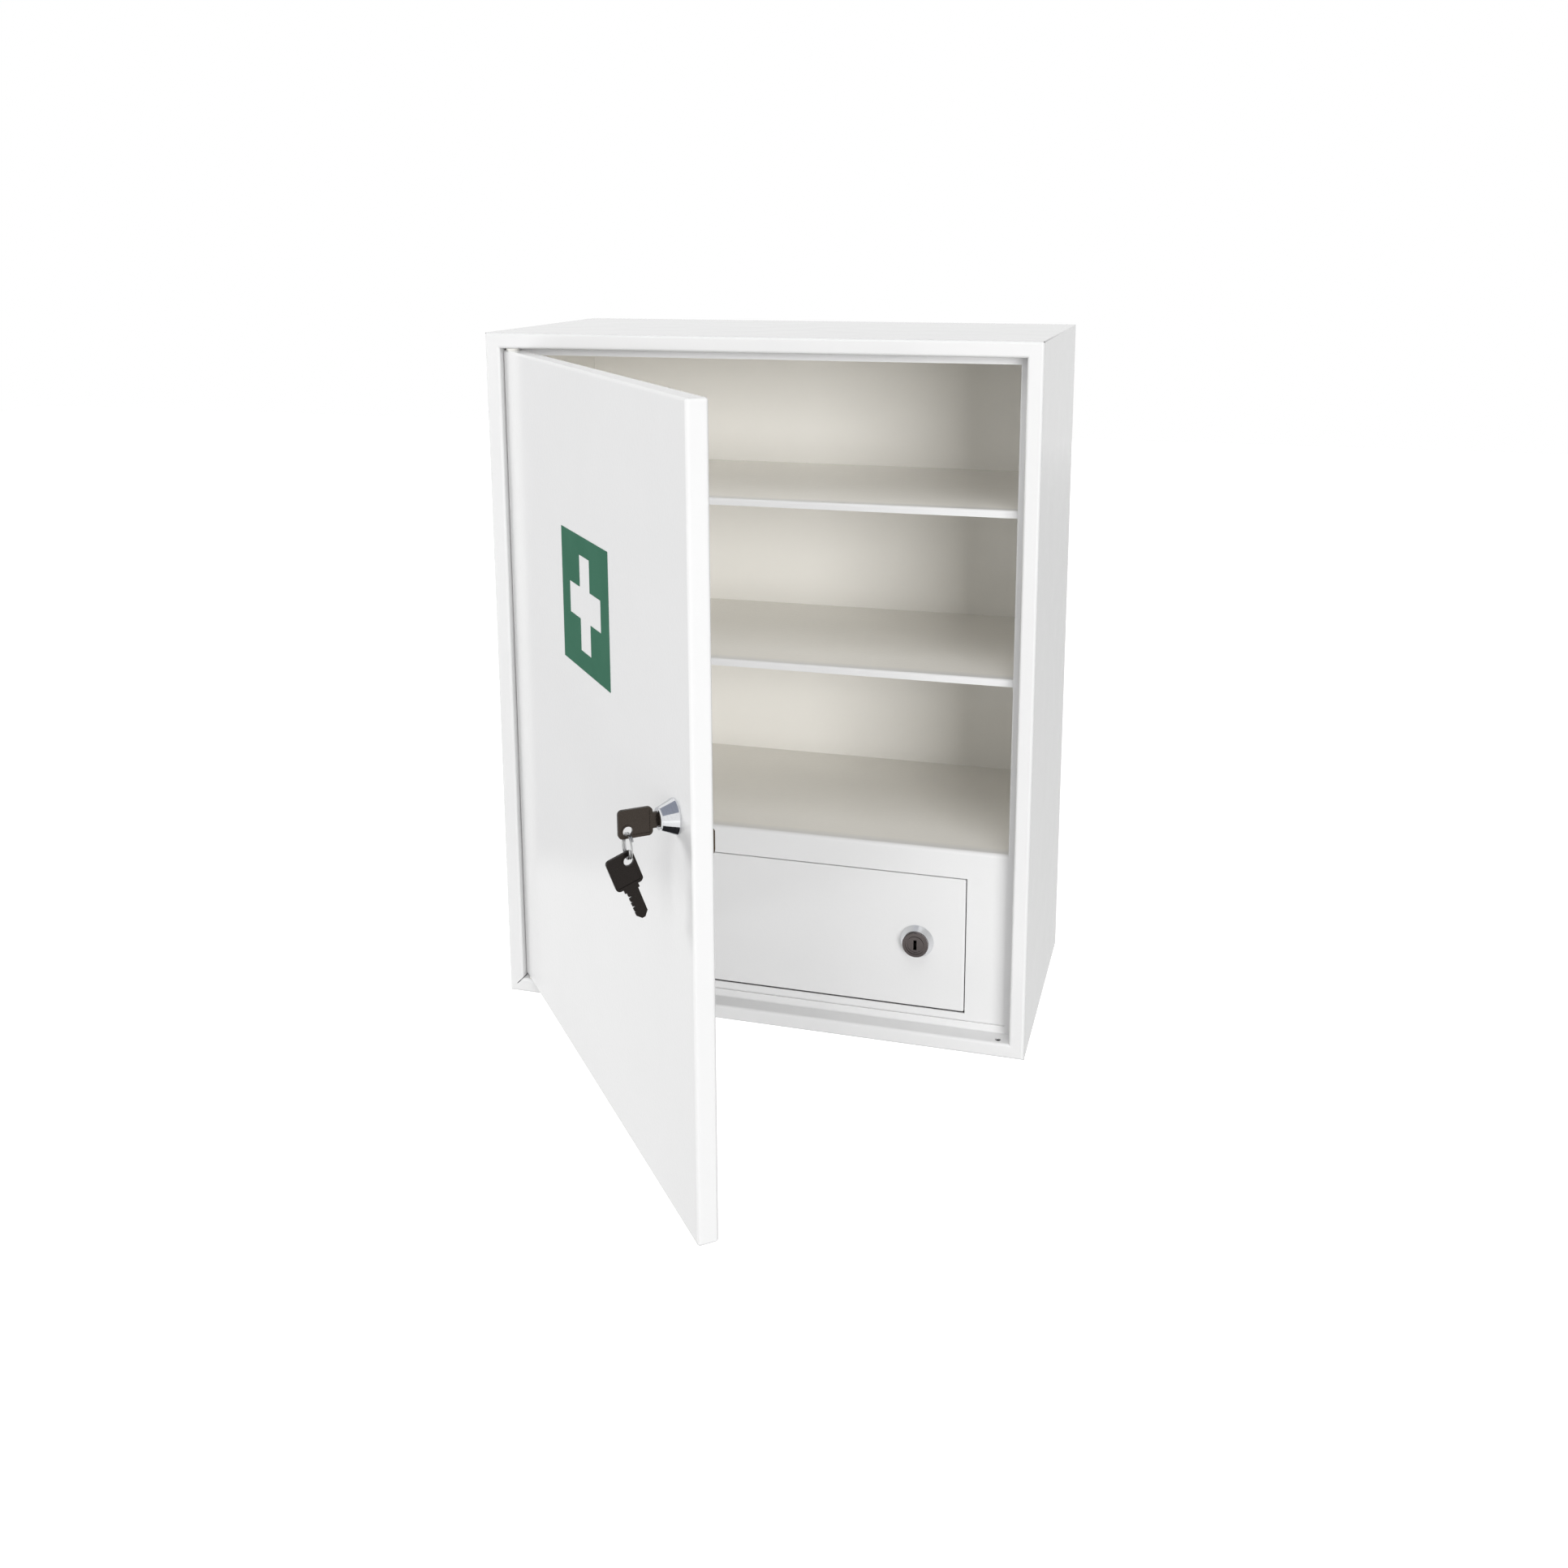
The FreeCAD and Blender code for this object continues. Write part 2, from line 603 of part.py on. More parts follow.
def hatch_front_edge(middle, direction):
    flat = abs(direction.y) < MATCH_SHARE
    side_edge = near(abs(middle.x), HATCH_ACROSS)
    level_edge = near(middle.z, HATCH_LOW) or near(middle.z, HATCH_HIGH)
    return near(middle.y, INSIDE_FRONT) and (level_edge or side_edge) if flat else side_edge


round_edges(hatch, "hatch_bend", hatch_front_edge)
pocket(hatch, "XZ_Plane", f"{INSIDE_FRONT} + sheet_steel + cut_overrun", "sheet_steel + 2 * cut_overrun",
       circles=[(HATCH_LOCK_X, HATCH_LOCK_Z, "hatch_body_diameter + 2 * thread_slack")], forward=True)
for skin_top in (f"{HATCH_HIGH} + cut_overrun", f"{HATCH_LOW} + sheet_steel + cut_overrun"):
    pocket(hatch, "XY_Plane", skin_top, "sheet_steel + 2 * cut_overrun",
           circles=[(HATCH_PIVOT_X, HATCH_PIVOT_Y, "hatch_pin_diameter + 2 * pin_fit")])


# Locks: drawn about their own axis, with Y = 0 on the outer face of the door and Y into the cabinet.
LOCK_LABELS = {"main": "main_lock", "hatch": "compartment_lock"}


def make_lock(lock):
    """Rosette, housing, nut, plug and screw of a lock; returns the plug's shoulder, where the cam sits."""
    rosette = make_body(f"{LOCK_LABELS[lock]}_rosette")
    bore = f"{lock}_body_diameter / 2 + thread_slack"
    turn(rosette, "XY_Plane", [
        (bore, "0"),
        (f"{lock}_rosette_base / 2", "0"),
        (f"{lock}_rosette_base / 2", f"-{lock}_rosette_rim"),
        (f"{lock}_rosette_front / 2", f"-{lock}_rosette_height"),
        (bore, f"-{lock}_rosette_height"),
    ])

    head_face = f"-({lock}_rosette_height + {lock}_head_height)"
    housing = make_body(f"{LOCK_LABELS[lock]}_housing")
    plug_bore = f"{lock}_plug_diameter / 2 + plug_fit"
    turn(housing, "XY_Plane", [
        (plug_bore, head_face),
        (f"{lock}_head_diameter / 2 - head_chamfer", head_face),
        (f"{lock}_head_diameter / 2", f"{head_face} + head_chamfer"),
        (f"{lock}_head_diameter / 2", f"-{lock}_rosette_height"),
        (f"{lock}_body_diameter / 2", f"-{lock}_rosette_height"),
        (f"{lock}_body_diameter / 2", f"{lock}_body_length"),
        (plug_bore, f"{lock}_body_length"),
    ])

    nut = make_body(f"{LOCK_LABELS[lock]}_nut")
    spokes = [HEX_START + HEX_STEP * number for number in range(6)]
    corner = f"{lock}_nut_across / 2 / cos(30)"
    pad(nut, "XZ_Plane", f"sheet_steel + {lock}_nut_height", f"{lock}_nut_height",
        [[(f"{corner} * cos({spoke})", f"{corner} * sin({spoke})") for spoke in spokes]],
        [("0", "0", f"{lock}_body_diameter + 2 * thread_slack")])

    shoulder = f"({lock}_body_length + cam_play)"
    plug_face = f"({head_face} + plug_recess)"
    plug = make_body(f"{LOCK_LABELS[lock]}_plug")
    turn(plug, "XY_Plane", [
        ("0", plug_face),
        (f"{lock}_plug_diameter / 2", plug_face),
        (f"{lock}_plug_diameter / 2", shoulder),
        ("0", shoulder),
    ])
    tail = f"{lock}_tail_width / 2"
    pad(plug, "XZ_Plane", f"{shoulder} + cam_steel - cam_play", "cam_steel - cam_play",
        [rectangle(f"-{tail}", tail, f"-{tail}", tail)])
    pocket(plug, "XZ_Plane", f"{shoulder} + cam_steel - screw_depth", "screw_depth + cut_overrun",
           circles=[("0", "0", "screw_diameter")])
    slot = "(key_thickness / 2 + keyway_slack)"
    reach = "(key_blade_height / 2 + keyway_slack)"
    pocket(plug, "XZ_Plane", f"{plug_face} + keyway_depth", "keyway_depth + cut_overrun",
           [rectangle(f"-{slot}", slot, f"-{reach}", reach)], forward=True)

    screw = make_body(f"{LOCK_LABELS[lock]}_screw")
    seat = f"({shoulder} + cam_steel)"
    turn(screw, "XY_Plane", [
        ("0", f"{seat} - screw_depth + cut_overrun"),
        ("screw_diameter / 2", f"{seat} - screw_depth + cut_overrun"),
        ("screw_diameter / 2", seat),
        ("screw_head_diameter / 2", seat),
        ("screw_head_diameter / 2", f"{seat} + screw_head_height - head_chamfer"),
        ("screw_head_diameter / 2 - head_chamfer", f"{seat} + screw_head_height"),
        ("0", f"{seat} + screw_head_height"),
    ])
    slot_floor = f"{seat} + screw_head_height - screw_slot_depth"
    pocket(screw, "XZ_Plane", slot_floor, "screw_slot_depth + cut_overrun",
           [rectangle("-screw_slot_width / 2", "screw_slot_width / 2",
                      "-screw_head_diameter", "screw_head_diameter")])
    return shoulder


def finish_cam(cam, lock, shoulder):
    """Square hole for the plug's tail, and rounded corners at both ends of the arm."""
    hole = f"({lock}_tail_width / 2 + cam_hole_slack)"
    pocket(cam, "XZ_Plane", f"{shoulder} + cam_steel + cut_overrun", "cam_steel + 2 * cut_overrun",
           [rectangle(f"-{hole}", hole, f"-{hole}", hole)], forward=True)

    def end_corner(middle, direction):
        return along_axis(direction, "y") and near(abs(middle.x), f"{lock}_cam_width / 2")

    round_edges(cam, f"{lock}_cam_width * {CAM_ROUND_SHARE}", end_corner)


main_first = len(pieces)
shoulder = make_lock("main")
cam = make_body("main_lock_cam")
front_face = shoulder
rear_face = f"{shoulder} + cam_steel"
pad(cam, "YZ_Plane", "-main_cam_width / 2", "main_cam_width", [[
    (front_face, "main_cam_top"),
    (front_face, "-main_cam_knee"),
    (f"{front_face} + main_cam_crank", "-(main_cam_knee + main_cam_run)"),
    (f"{front_face} + main_cam_crank", "-main_cam_reach"),
    (f"{rear_face} + main_cam_crank", "-main_cam_reach"),
    (f"{rear_face} + main_cam_crank", "-(main_cam_knee + main_cam_run)"),
    (rear_face, "-main_cam_knee"),
    (rear_face, "main_cam_top"),
]])
finish_cam(cam, "main", shoulder)


def make_key(label):
    """Key lying in the upright plane through the lock's axis, its blade towards the cabinet."""
    key = make_body(label)
    bow_near = "-key_bow_start"
    bow_far = "-(key_bow_start + key_bow_length)"
    shoulder_end = "-(key_bow_start - key_shoulder_length)"
    tip = "(key_blade_length - key_bow_start)"
    thick = "key_thickness"
    pad(key, "YZ_Plane", f"-{thick} / 2", thick,
        [rectangle(bow_far, bow_near, "-key_bow_height / 2", "key_bow_height / 2")])

    def bow_corner(middle, direction):
        return along_axis(direction, "x")

    round_edges(key, "key_bow_corner", bow_corner)
    pad(key, "YZ_Plane", f"-{thick} / 2", thick, [[
        (f"{bow_near} - key_rim", "-key_shoulder_height / 2"),
        (shoulder_end, "-key_shoulder_height / 2"),
        (shoulder_end, "-key_blade_height / 2"),
        (f"{tip} - key_tip_length", "-key_blade_height / 2"),
        (tip, "-key_tip_height / 2"),
        (tip, "key_tip_height / 2"),
        (f"{tip} - key_tip_length", "key_blade_height / 2"),
        (shoulder_end, "key_blade_height / 2"),
        (shoulder_end, "key_shoulder_height / 2"),
        (f"{bow_near} - key_rim", "key_shoulder_height / 2"),
    ]])
    cuts = []
    for number, share in enumerate(KEY_CUT_SHARES):
        start = f"({tip} - key_tip_length - {number + 1} * key_cut_pitch)"
        cuts.append([
            (start, "key_blade_height / 2 + cut_overrun"),
            (f"{start} + key_cut_pitch * 3 / 4", "key_blade_height / 2 + cut_overrun"),
            (f"{start} + key_cut_pitch / 2", f"key_blade_height * ({1 - share} - 1 / 2)"),
            (f"{start} + key_cut_pitch / 4", f"key_blade_height * ({1 - share} - 1 / 2)"),
        ])
    pocket(key, "YZ_Plane", f"-{thick}", f"2 * {thick}", cuts, forward=True)
    hole = (f"{bow_far} + key_hole_inset", "key_hole_lift - key_bow_height / 2", "key_hole_diameter")
    field = rectangle(f"{bow_far} + key_rim", f"{bow_near} - key_rim",
                      "key_rim - key_bow_height / 2", "key_bow_height / 2 - key_rim")
    rim = (hole[0], hole[1], "key_hole_diameter + key_rim")
    pocket(key, "YZ_Plane", f"{thick} / 2 - key_recess", "key_recess + cut_overrun", [field], forward=True)
    pocket(key, "YZ_Plane", f"key_recess - {thick} / 2", "key_recess + cut_overrun", [field])
    pad(key, "YZ_Plane", f"-{thick} / 2", thick, circles=[rim])
    pocket(key, "YZ_Plane", f"-{thick}", f"2 * {thick}", circles=[hole], forward=True)
    return key


HOLE_Y = "(key_hole_inset - key_bow_start - key_bow_length)"
HOLE_Z = "(key_hole_lift - key_bow_height / 2)"
make_key("key")

# Split ring: two turns of wire side by side, hanging in the key's hole.
ring = make_body("key_ring")
RING_Z = f"({HOLE_Z} - ring_seat - ring_radius)"
wire = make_sketch(ring, "XY_Plane", "0",
                   circles=[("ring_radius", f"-ring_pitch * {RING_TURNS} / 2", "2 * ring_wire_radius")])
coil = ring.newObject("PartDesign::AdditiveHelix", "Coil")
coil.Profile = wire
coil.ReferenceAxis = (wire, ["V_Axis"])
coil.Mode = "pitch-turns-angle"
bind(coil, "Pitch", "ring_pitch")
coil.Turns = RING_TURNS
doc.recompute()
main_last = len(pieces)

# Everything on the main lock's axis swings with the main door.
pivot = FreeCAD.Vector(size(PIVOT_X), size(PIVOT_Y), 0)
swing = FreeCAD.Rotation(FreeCAD.Vector(0, 0, 1), -size("door_rest_angle"))
swung = FreeCAD.Placement(FreeCAD.Vector(), swing, pivot)
main_axis = swung * moved(MAIN_LOCK_X, FRONT, MAIN_LOCK_Z)
for piece in pieces[main_first:main_last]:
    piece.Placement = main_axis
ring.Placement = main_axis * moved("0", HOLE_Y, RING_Z)
for piece in (door, sign, next(piece for piece in pieces if piece.Label == "upper_hinge_washer")):
    piece.Placement = swung

# The spare hangs from the bottom of the ring, turned over about its blade.
spare = make_key("spare_key")
SPARE_HOLE_Z = f"({RING_Z} - ring_radius - ring_seat)"
hang = turned(FreeCAD.Vector(1, 0, 0), -size("spare_key_hang"))
flip = turned(FreeCAD.Vector(0, 1, 0), HALF_TURN)
hole_to_origin = moved("0", f"-{HOLE_Y}", f"-{HOLE_Z}")
spare.Placement = main_axis * moved("0", HOLE_Y, SPARE_HOLE_Z) * hang * flip * hole_to_origin

hatch_first = len(pieces)
shoulder = make_lock("hatch")
housing = next(piece for piece in pieces if piece.Label == "compartment_lock_housing")
FACE = "-(hatch_rosette_height + hatch_head_height)"
pocket(housing, "XZ_Plane", f"{FACE} + groove_depth", "groove_depth + cut_overrun",
       circles=[("0", "0", "2 * groove_radius"), ("0", "0", "2 * (groove_radius - groove_width)")],
       forward=True)
cam = make_body("compartment_lock_cam")
pad(cam, "XZ_Plane", f"{shoulder} + cam_steel", "cam_steel",
    [rectangle("-hatch_cam_width / 2", "hatch_cam_width / 2", "-hatch_cam_reach", "hatch_cam_top")])
finish_cam(cam, "hatch", shoulder)
for piece in pieces[hatch_first:]:
    piece.Placement = moved(HATCH_LOCK_X, INSIDE_FRONT, HATCH_LOCK_Z)

doc.recompute()
for item in doc.Objects:
    if "Invalid" in item.State or "Error" in item.State:
        raise RuntimeError(f"{item.Label} did not recompute")
for piece in pieces:
    if piece.Shape.isNull() or not piece.Shape.isValid() or len(piece.Shape.Solids) != 1:
        raise RuntimeError(f"{piece.Label} is not one valid solid")
    piece.Shape.exportStep(f"parts/{piece.Label}.step")
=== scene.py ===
import math

import bpy
from mathutils import Matrix, Vector


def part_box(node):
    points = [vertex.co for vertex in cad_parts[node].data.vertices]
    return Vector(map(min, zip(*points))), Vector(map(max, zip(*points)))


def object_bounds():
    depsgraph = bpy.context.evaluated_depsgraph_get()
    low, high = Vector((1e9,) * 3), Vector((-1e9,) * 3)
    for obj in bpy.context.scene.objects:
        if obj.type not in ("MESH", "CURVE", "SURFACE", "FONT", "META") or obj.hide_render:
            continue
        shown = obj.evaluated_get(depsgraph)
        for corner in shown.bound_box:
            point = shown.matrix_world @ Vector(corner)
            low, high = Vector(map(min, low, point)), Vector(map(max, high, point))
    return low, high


bl_info = {
    "name": "Medicine Cabinet Finish",
    "version": (1, 0, 0),
    "blender": (4, 5, 0),
    "location": "View3D > Sidebar > Cabinet",
    "description": "Paint, plating, sign film and studio for a steel medicine cabinet",
    "category": "Object",
}

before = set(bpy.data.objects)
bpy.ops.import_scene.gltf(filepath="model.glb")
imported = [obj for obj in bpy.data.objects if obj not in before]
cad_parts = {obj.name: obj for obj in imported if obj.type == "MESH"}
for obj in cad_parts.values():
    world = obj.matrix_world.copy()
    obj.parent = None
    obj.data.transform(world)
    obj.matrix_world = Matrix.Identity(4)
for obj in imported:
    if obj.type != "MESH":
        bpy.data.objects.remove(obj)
cad_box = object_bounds()

# Nodes of the frame, by finish.
PAINTED = (
    "left_side", "right_side", "top_panel", "bottom_panel", "back_panel", "upper_shelf", "lower_shelf",
    "compartment_cover", "compartment_door", "main_door",
)
CHROMED = ("main_lock_rosette", "main_lock_housing", "compartment_lock_rosette")
GUNMETAL = ("compartment_lock_housing", "compartment_lock_plug", "main_lock_plug")
ZINCED = (
    "compartment_strike", "compartment_upper_bracket", "compartment_lower_bracket", "compartment_upper_pin",
    "compartment_lower_pin", "upper_hinge_pin", "lower_hinge_pin", "main_lock_nut", "compartment_lock_nut",
    "main_lock_screw", "compartment_lock_screw", "compartment_lock_cam",
)
BROWNED = ("main_lock_cam",)
NYLON = ("upper_hinge_washer", "lower_hinge_washer")

# Levels of the noise at which one of two tones starts to give way and the other is full.
CLOUD_START = 0.35
CLOUD_FULL = 0.65
# Detail of the noise in clouds, in the dimples of the paint and in the marks on metal.
CLOUD_DETAIL = 3.0
PEEL_DETAIL = 1.0
MARK_DETAIL = 4.0

WHITE = (1, 1, 1, 1)
BLACK = (0, 0, 0, 1)
RIGHT = Vector((1, 0, 0))
BACKWARD = Vector((0, 1, 0))
UP = Vector((0, 0, 1))
# Corners of a rectangle, in half edges from its middle.
CORNERS = ((-1, -1), (1, -1), (1, 1), (-1, 1))
# The lamps, and the settings of each in the order that add_lamp takes them.
LAMPS = ("key", "fill", "front", "top", "back")
LAMP_SETTINGS = ("turn", "rise", "distance", "size", "power")


class CabinetPaint(bpy.types.PropertyGroup):
    """White gloss powder coat on the sheet steel."""

    colour: bpy.props.FloatVectorProperty(
        name="Colour", description="Main tone of the paint", subtype="COLOR", size=3, min=0, max=1,
        default=(0.79, 0.79, 0.79))
    # Painted light: the inside tone is the same white paint made paler and warmer, standing in for warm light
    # bounced about inside the carcass.
    inside: bpy.props.FloatVectorProperty(
        name="Inside", description="Tone of the paint inside the cabinet", subtype="COLOR", size=3,
        min=0, max=1, default=(0.95, 0.93, 0.88))
    sheet: bpy.props.FloatProperty(
        name="Sheet", description="Thickness of the sheet steel", unit="LENGTH", default=0.001, min=0)
    # How far behind the shelves' lips the painted bounce light inside fades in.
    bounce_light_lip_fade: bpy.props.FloatProperty(
        name="Lip fade", description="How far behind the shelves' front edges the inside tone is full",
        unit="LENGTH", default=0.012, min=0)
    clouding: bpy.props.FloatProperty(
        name="Clouding", description="How much darker the faint clouds in the paint are", subtype="FACTOR",
        default=0.015, min=0, max=1)
    cloud_scale: bpy.props.FloatProperty(
        name="Cloud scale", description="Clouds per metre", default=9.0, min=0)
    seam: bpy.props.FloatVectorProperty(
        name="Seam", description="Tone of the open joint at the carcass edges", subtype="COLOR", size=3,
        min=0, max=1, default=(0.08, 0.078, 0.075))
    seam_width: bpy.props.FloatProperty(
        name="Seam width", description="Width of the open joint on each face", unit="LENGTH",
        default=0.001, min=0)
    seam_depth: bpy.props.FloatProperty(
        name="Seam reach", description="How far back from the front the joint stays open", unit="LENGTH",
        default=0.12, min=0)
    flow_scale: bpy.props.FloatProperty(
        name="Flow scale", description="Patches of smoother and rougher paint per metre", default=36.0, min=0)
    gloss_low: bpy.props.FloatProperty(
        name="Smoothest", description="Roughness where the paint flowed best", subtype="FACTOR",
        default=0.10, min=0, max=1)
    gloss_high: bpy.props.FloatProperty(
        name="Roughest", description="Roughness where the paint is driest", subtype="FACTOR",
        default=0.16, min=0, max=1)
    peel_scale: bpy.props.FloatProperty(
        name="Peel scale", description="Orange-peel dimples per metre", default=420.0, min=0)
    peel_depth: bpy.props.FloatProperty(
        name="Peel depth", description="Depth of the orange peel", unit="LENGTH", default=0.00004, min=0)
    refraction: bpy.props.FloatProperty(
        name="Refraction", description="Refractive index of the paint", default=1.5, min=1)


class CabinetMetal(bpy.types.PropertyGroup):
    """Plated and blackened metal of the locks, keys and hinges, and the nylon between them."""

    chrome: bpy.props.FloatVectorProperty(
        name="Chrome", description="Bright plate of the lock rosettes and the main lock's housing",
        subtype="COLOR", size=3, min=0, max=1, default=(0.84, 0.85, 0.87))
    chrome_roughness: bpy.props.FloatVectorProperty(
        name="Chrome roughness", description="Least and most roughness of the chrome", size=2, min=0, max=1,
        default=(0.07, 0.14))
    gunmetal: bpy.props.FloatVectorProperty(
        name="Gunmetal", description="Dark face of the compartment lock and plug of the main lock",
        subtype="COLOR", size=3, min=0, max=1, default=(0.155, 0.135, 0.132))
    gunmetal_roughness: bpy.props.FloatVectorProperty(
        name="Gunmetal roughness", description="Least and most roughness of the gunmetal", size=2,
        min=0, max=1, default=(0.08, 0.18))
    browned: bpy.props.FloatVectorProperty(
        name="Browned", description="Dark cam of the main lock", subtype="COLOR", size=3, min=0, max=1,
        default=(0.10, 0.075, 0.055))
    browned_roughness: bpy.props.FloatVectorProperty(
        name="Browned roughness", description="Least and most roughness of the dark cam", size=2,
        min=0, max=1, default=(0.3, 0.45))
    # Lit and shaded copies of the same black nickel: the key in the lock is painted lighter for the light and
    # sheen on it, the spare key painted darker for the shade on it.
    key_nickel_painted_light: bpy.props.FloatVectorProperty(
        name="Key metal", description="Worn black nickel of the key in the lock", subtype="COLOR", size=3,
        min=0, max=1, default=(0.066, 0.055, 0.047))
    spare_nickel_painted_shade: bpy.props.FloatVectorProperty(
        name="Spare metal", description="Unworn black nickel of the spare key", subtype="COLOR", size=3,
        min=0, max=1, default=(0.032, 0.028, 0.026))
    nickel_roughness: bpy.props.FloatVectorProperty(
        name="Nickel roughness", description="Least and most roughness of both keys", size=2, min=0, max=1,
        default=(0.2, 0.34))
    steel: bpy.props.FloatVectorProperty(
        name="Steel", description="Bright steel of the split ring", subtype="COLOR", size=3, min=0, max=1,
        default=(0.58, 0.58, 0.58))
    steel_roughness: bpy.props.FloatVectorProperty(
        name="Steel roughness", description="Least and most roughness of the split ring", size=2,
        min=0, max=1, default=(0.15, 0.25))
    zinc: bpy.props.FloatVectorProperty(
        name="Zinc", description="Plate of the pins, brackets, nuts, screws, strike and compartment cam",
        subtype="COLOR", size=3, min=0, max=1, default=(0.52, 0.53, 0.54))
    zinc_roughness: bpy.props.FloatVectorProperty(
        name="Zinc roughness", description="Least and most roughness of the zinc plate", size=2,
        min=0, max=1, default=(0.28, 0.42))
    zinc_coarseness: bpy.props.FloatProperty(
        name="Zinc coarseness", description="How many times coarser than the grain the marks on zinc are",
        default=3.0, min=1)
    grain: bpy.props.FloatProperty(
        name="Grain", description="Fine marks per metre in the metal", default=2600.0, min=0)
    mark_tone: bpy.props.FloatProperty(
        name="Mark tone", description="Tone of the darkest marks over that of the metal", subtype="FACTOR",
        default=0.86, min=0, max=1)
    mark_depth: bpy.props.FloatProperty(
        name="Mark depth", description="Depth of the fine marks", unit="LENGTH", default=0.000004, min=0)
    nylon: bpy.props.FloatVectorProperty(
        name="Nylon", description="Colour of the hinge washers", subtype="COLOR", size=3, min=0, max=1,
        default=(0.82, 0.81, 0.77))
    nylon_roughness: bpy.props.FloatVectorProperty(
        name="Nylon roughness", description="Least and most roughness of the hinge washers", size=2,
        min=0, max=1, default=(0.4, 0.5))
    nylon_coarseness: bpy.props.FloatProperty(
        name="Nylon coarseness", description="How many times coarser than the grain the mould texture is",
        default=2.0, min=1)
    nylon_mark_tone: bpy.props.FloatProperty(
        name="Nylon mark tone", description="Tone of the mould texture over that of the nylon",
        subtype="FACTOR", default=0.95, min=0, max=1)
    nylon_mark_depth: bpy.props.FloatProperty(
        name="Nylon mark depth", description="Depth of the mould texture", unit="LENGTH", default=0.00001,
        min=0)


class CabinetSign(bpy.types.PropertyGroup):
    """Green film of the first-aid sign."""

    colour: bpy.props.FloatVectorProperty(
        name="Green", description="Main green of the film", subtype="COLOR", size=3, min=0, max=1,
        default=(0.034, 0.128, 0.080))
    faded: bpy.props.FloatVectorProperty(
        name="Faded green", description="Lighter clouds in the film", subtype="COLOR", size=3, min=0, max=1,
        default=(0.042, 0.140, 0.090))
    cloud_scale: bpy.props.FloatProperty(
        name="Cloud scale", description="Clouds per metre", default=30.0, min=0)
    roughness: bpy.props.FloatProperty(
        name="Roughness", description="Roughness of the film", subtype="FACTOR", default=0.5, min=0, max=1)
    roughness_spread: bpy.props.FloatProperty(
        name="Roughness spread", description="How far the roughness varies to either side",
        subtype="FACTOR", default=0.05, min=0, max=1)
    sheen: bpy.props.FloatProperty(
        name="Sheen", description="How much the printed film mirrors", subtype="FACTOR", default=0.03,
        min=0, max=1)
    grain: bpy.props.FloatProperty(
        name="Grain", description="Fine dimples per metre in the film", default=700.0, min=0)
    grain_depth: bpy.props.FloatProperty(
        name="Grain depth", description="Depth of the fine dimples", unit="LENGTH", default=0.00001, min=0)


class CabinetStage(bpy.types.PropertyGroup):
    """Camera, floor and surroundings."""

    camera_place: bpy.props.FloatVectorProperty(
        name="Camera", description="Where the camera stands", subtype="TRANSLATION", unit="LENGTH", size=3,
        default=(0.3218, -1.2394, 0.3255))
    camera_turn: bpy.props.FloatProperty(
        name="Turn", description="Camera's turn to the left", subtype="ANGLE", default=0.2796)
    camera_dip: bpy.props.FloatProperty(
        name="Dip", description="How far the camera looks down", subtype="ANGLE", default=0.1981)
    camera_roll: bpy.props.FloatProperty(
        name="Roll", description="Camera's roll about its line of sight", subtype="ANGLE", default=-0.0028)
    focal_share: bpy.props.FloatProperty(
        name="Focal share", description="Focal length over picture width", default=1.0074)
    rise: bpy.props.FloatProperty(
        name="Rise", description="Vertical lens shift", default=-0.15)
    backdrop: bpy.props.FloatProperty(
        name="Backdrop", description="Brightness of the surroundings to the camera", default=1.0, min=0)
    mirrored: bpy.props.FloatProperty(
        name="Mirrored", description="Brightness of the surroundings in mirror-like surfaces",
        default=0.92, min=0)
    ambient: bpy.props.FloatProperty(
        name="Ambient", description="Brightness of the surroundings as a light", default=0.30, min=0)
    floor_drop: bpy.props.FloatProperty(
        name="Floor drop", description="Gap between the cabinet and the floor", unit="LENGTH", default=0.35)
    floor_reach: bpy.props.FloatProperty(
        name="Floor reach", description="How far the floor goes from below the cabinet to each side",
        unit="LENGTH", default=6.0, min=0)
    floor_colour: bpy.props.FloatVectorProperty(
        name="Floor", description="Colour of the floor", subtype="COLOR", size=3, min=0, max=1,
        default=(0.50, 0.50, 0.50))
    floor_cloud_tone: bpy.props.FloatProperty(
        name="Floor clouds", description="Tone of the floor's faint clouds over its own", subtype="FACTOR",
        default=0.99, min=0, max=1)
    floor_cloud_scale: bpy.props.FloatProperty(
        name="Floor cloud scale", description="Clouds per metre of the floor", default=2.0, min=0)
    floor_roughness: bpy.props.FloatProperty(
        name="Floor roughness", description="Roughness of the floor", subtype="FACTOR", default=0.9,
        min=0, max=1)
    floor_lift: bpy.props.FloatProperty(
        name="Floor lift", description="How much paler the floor looks to the camera", default=0.86, min=0)
    floor_mirrored: bpy.props.FloatProperty(
        name="Floor mirrored", description="How much paler the floor looks in mirror-like surfaces",
        default=0.45, min=0)


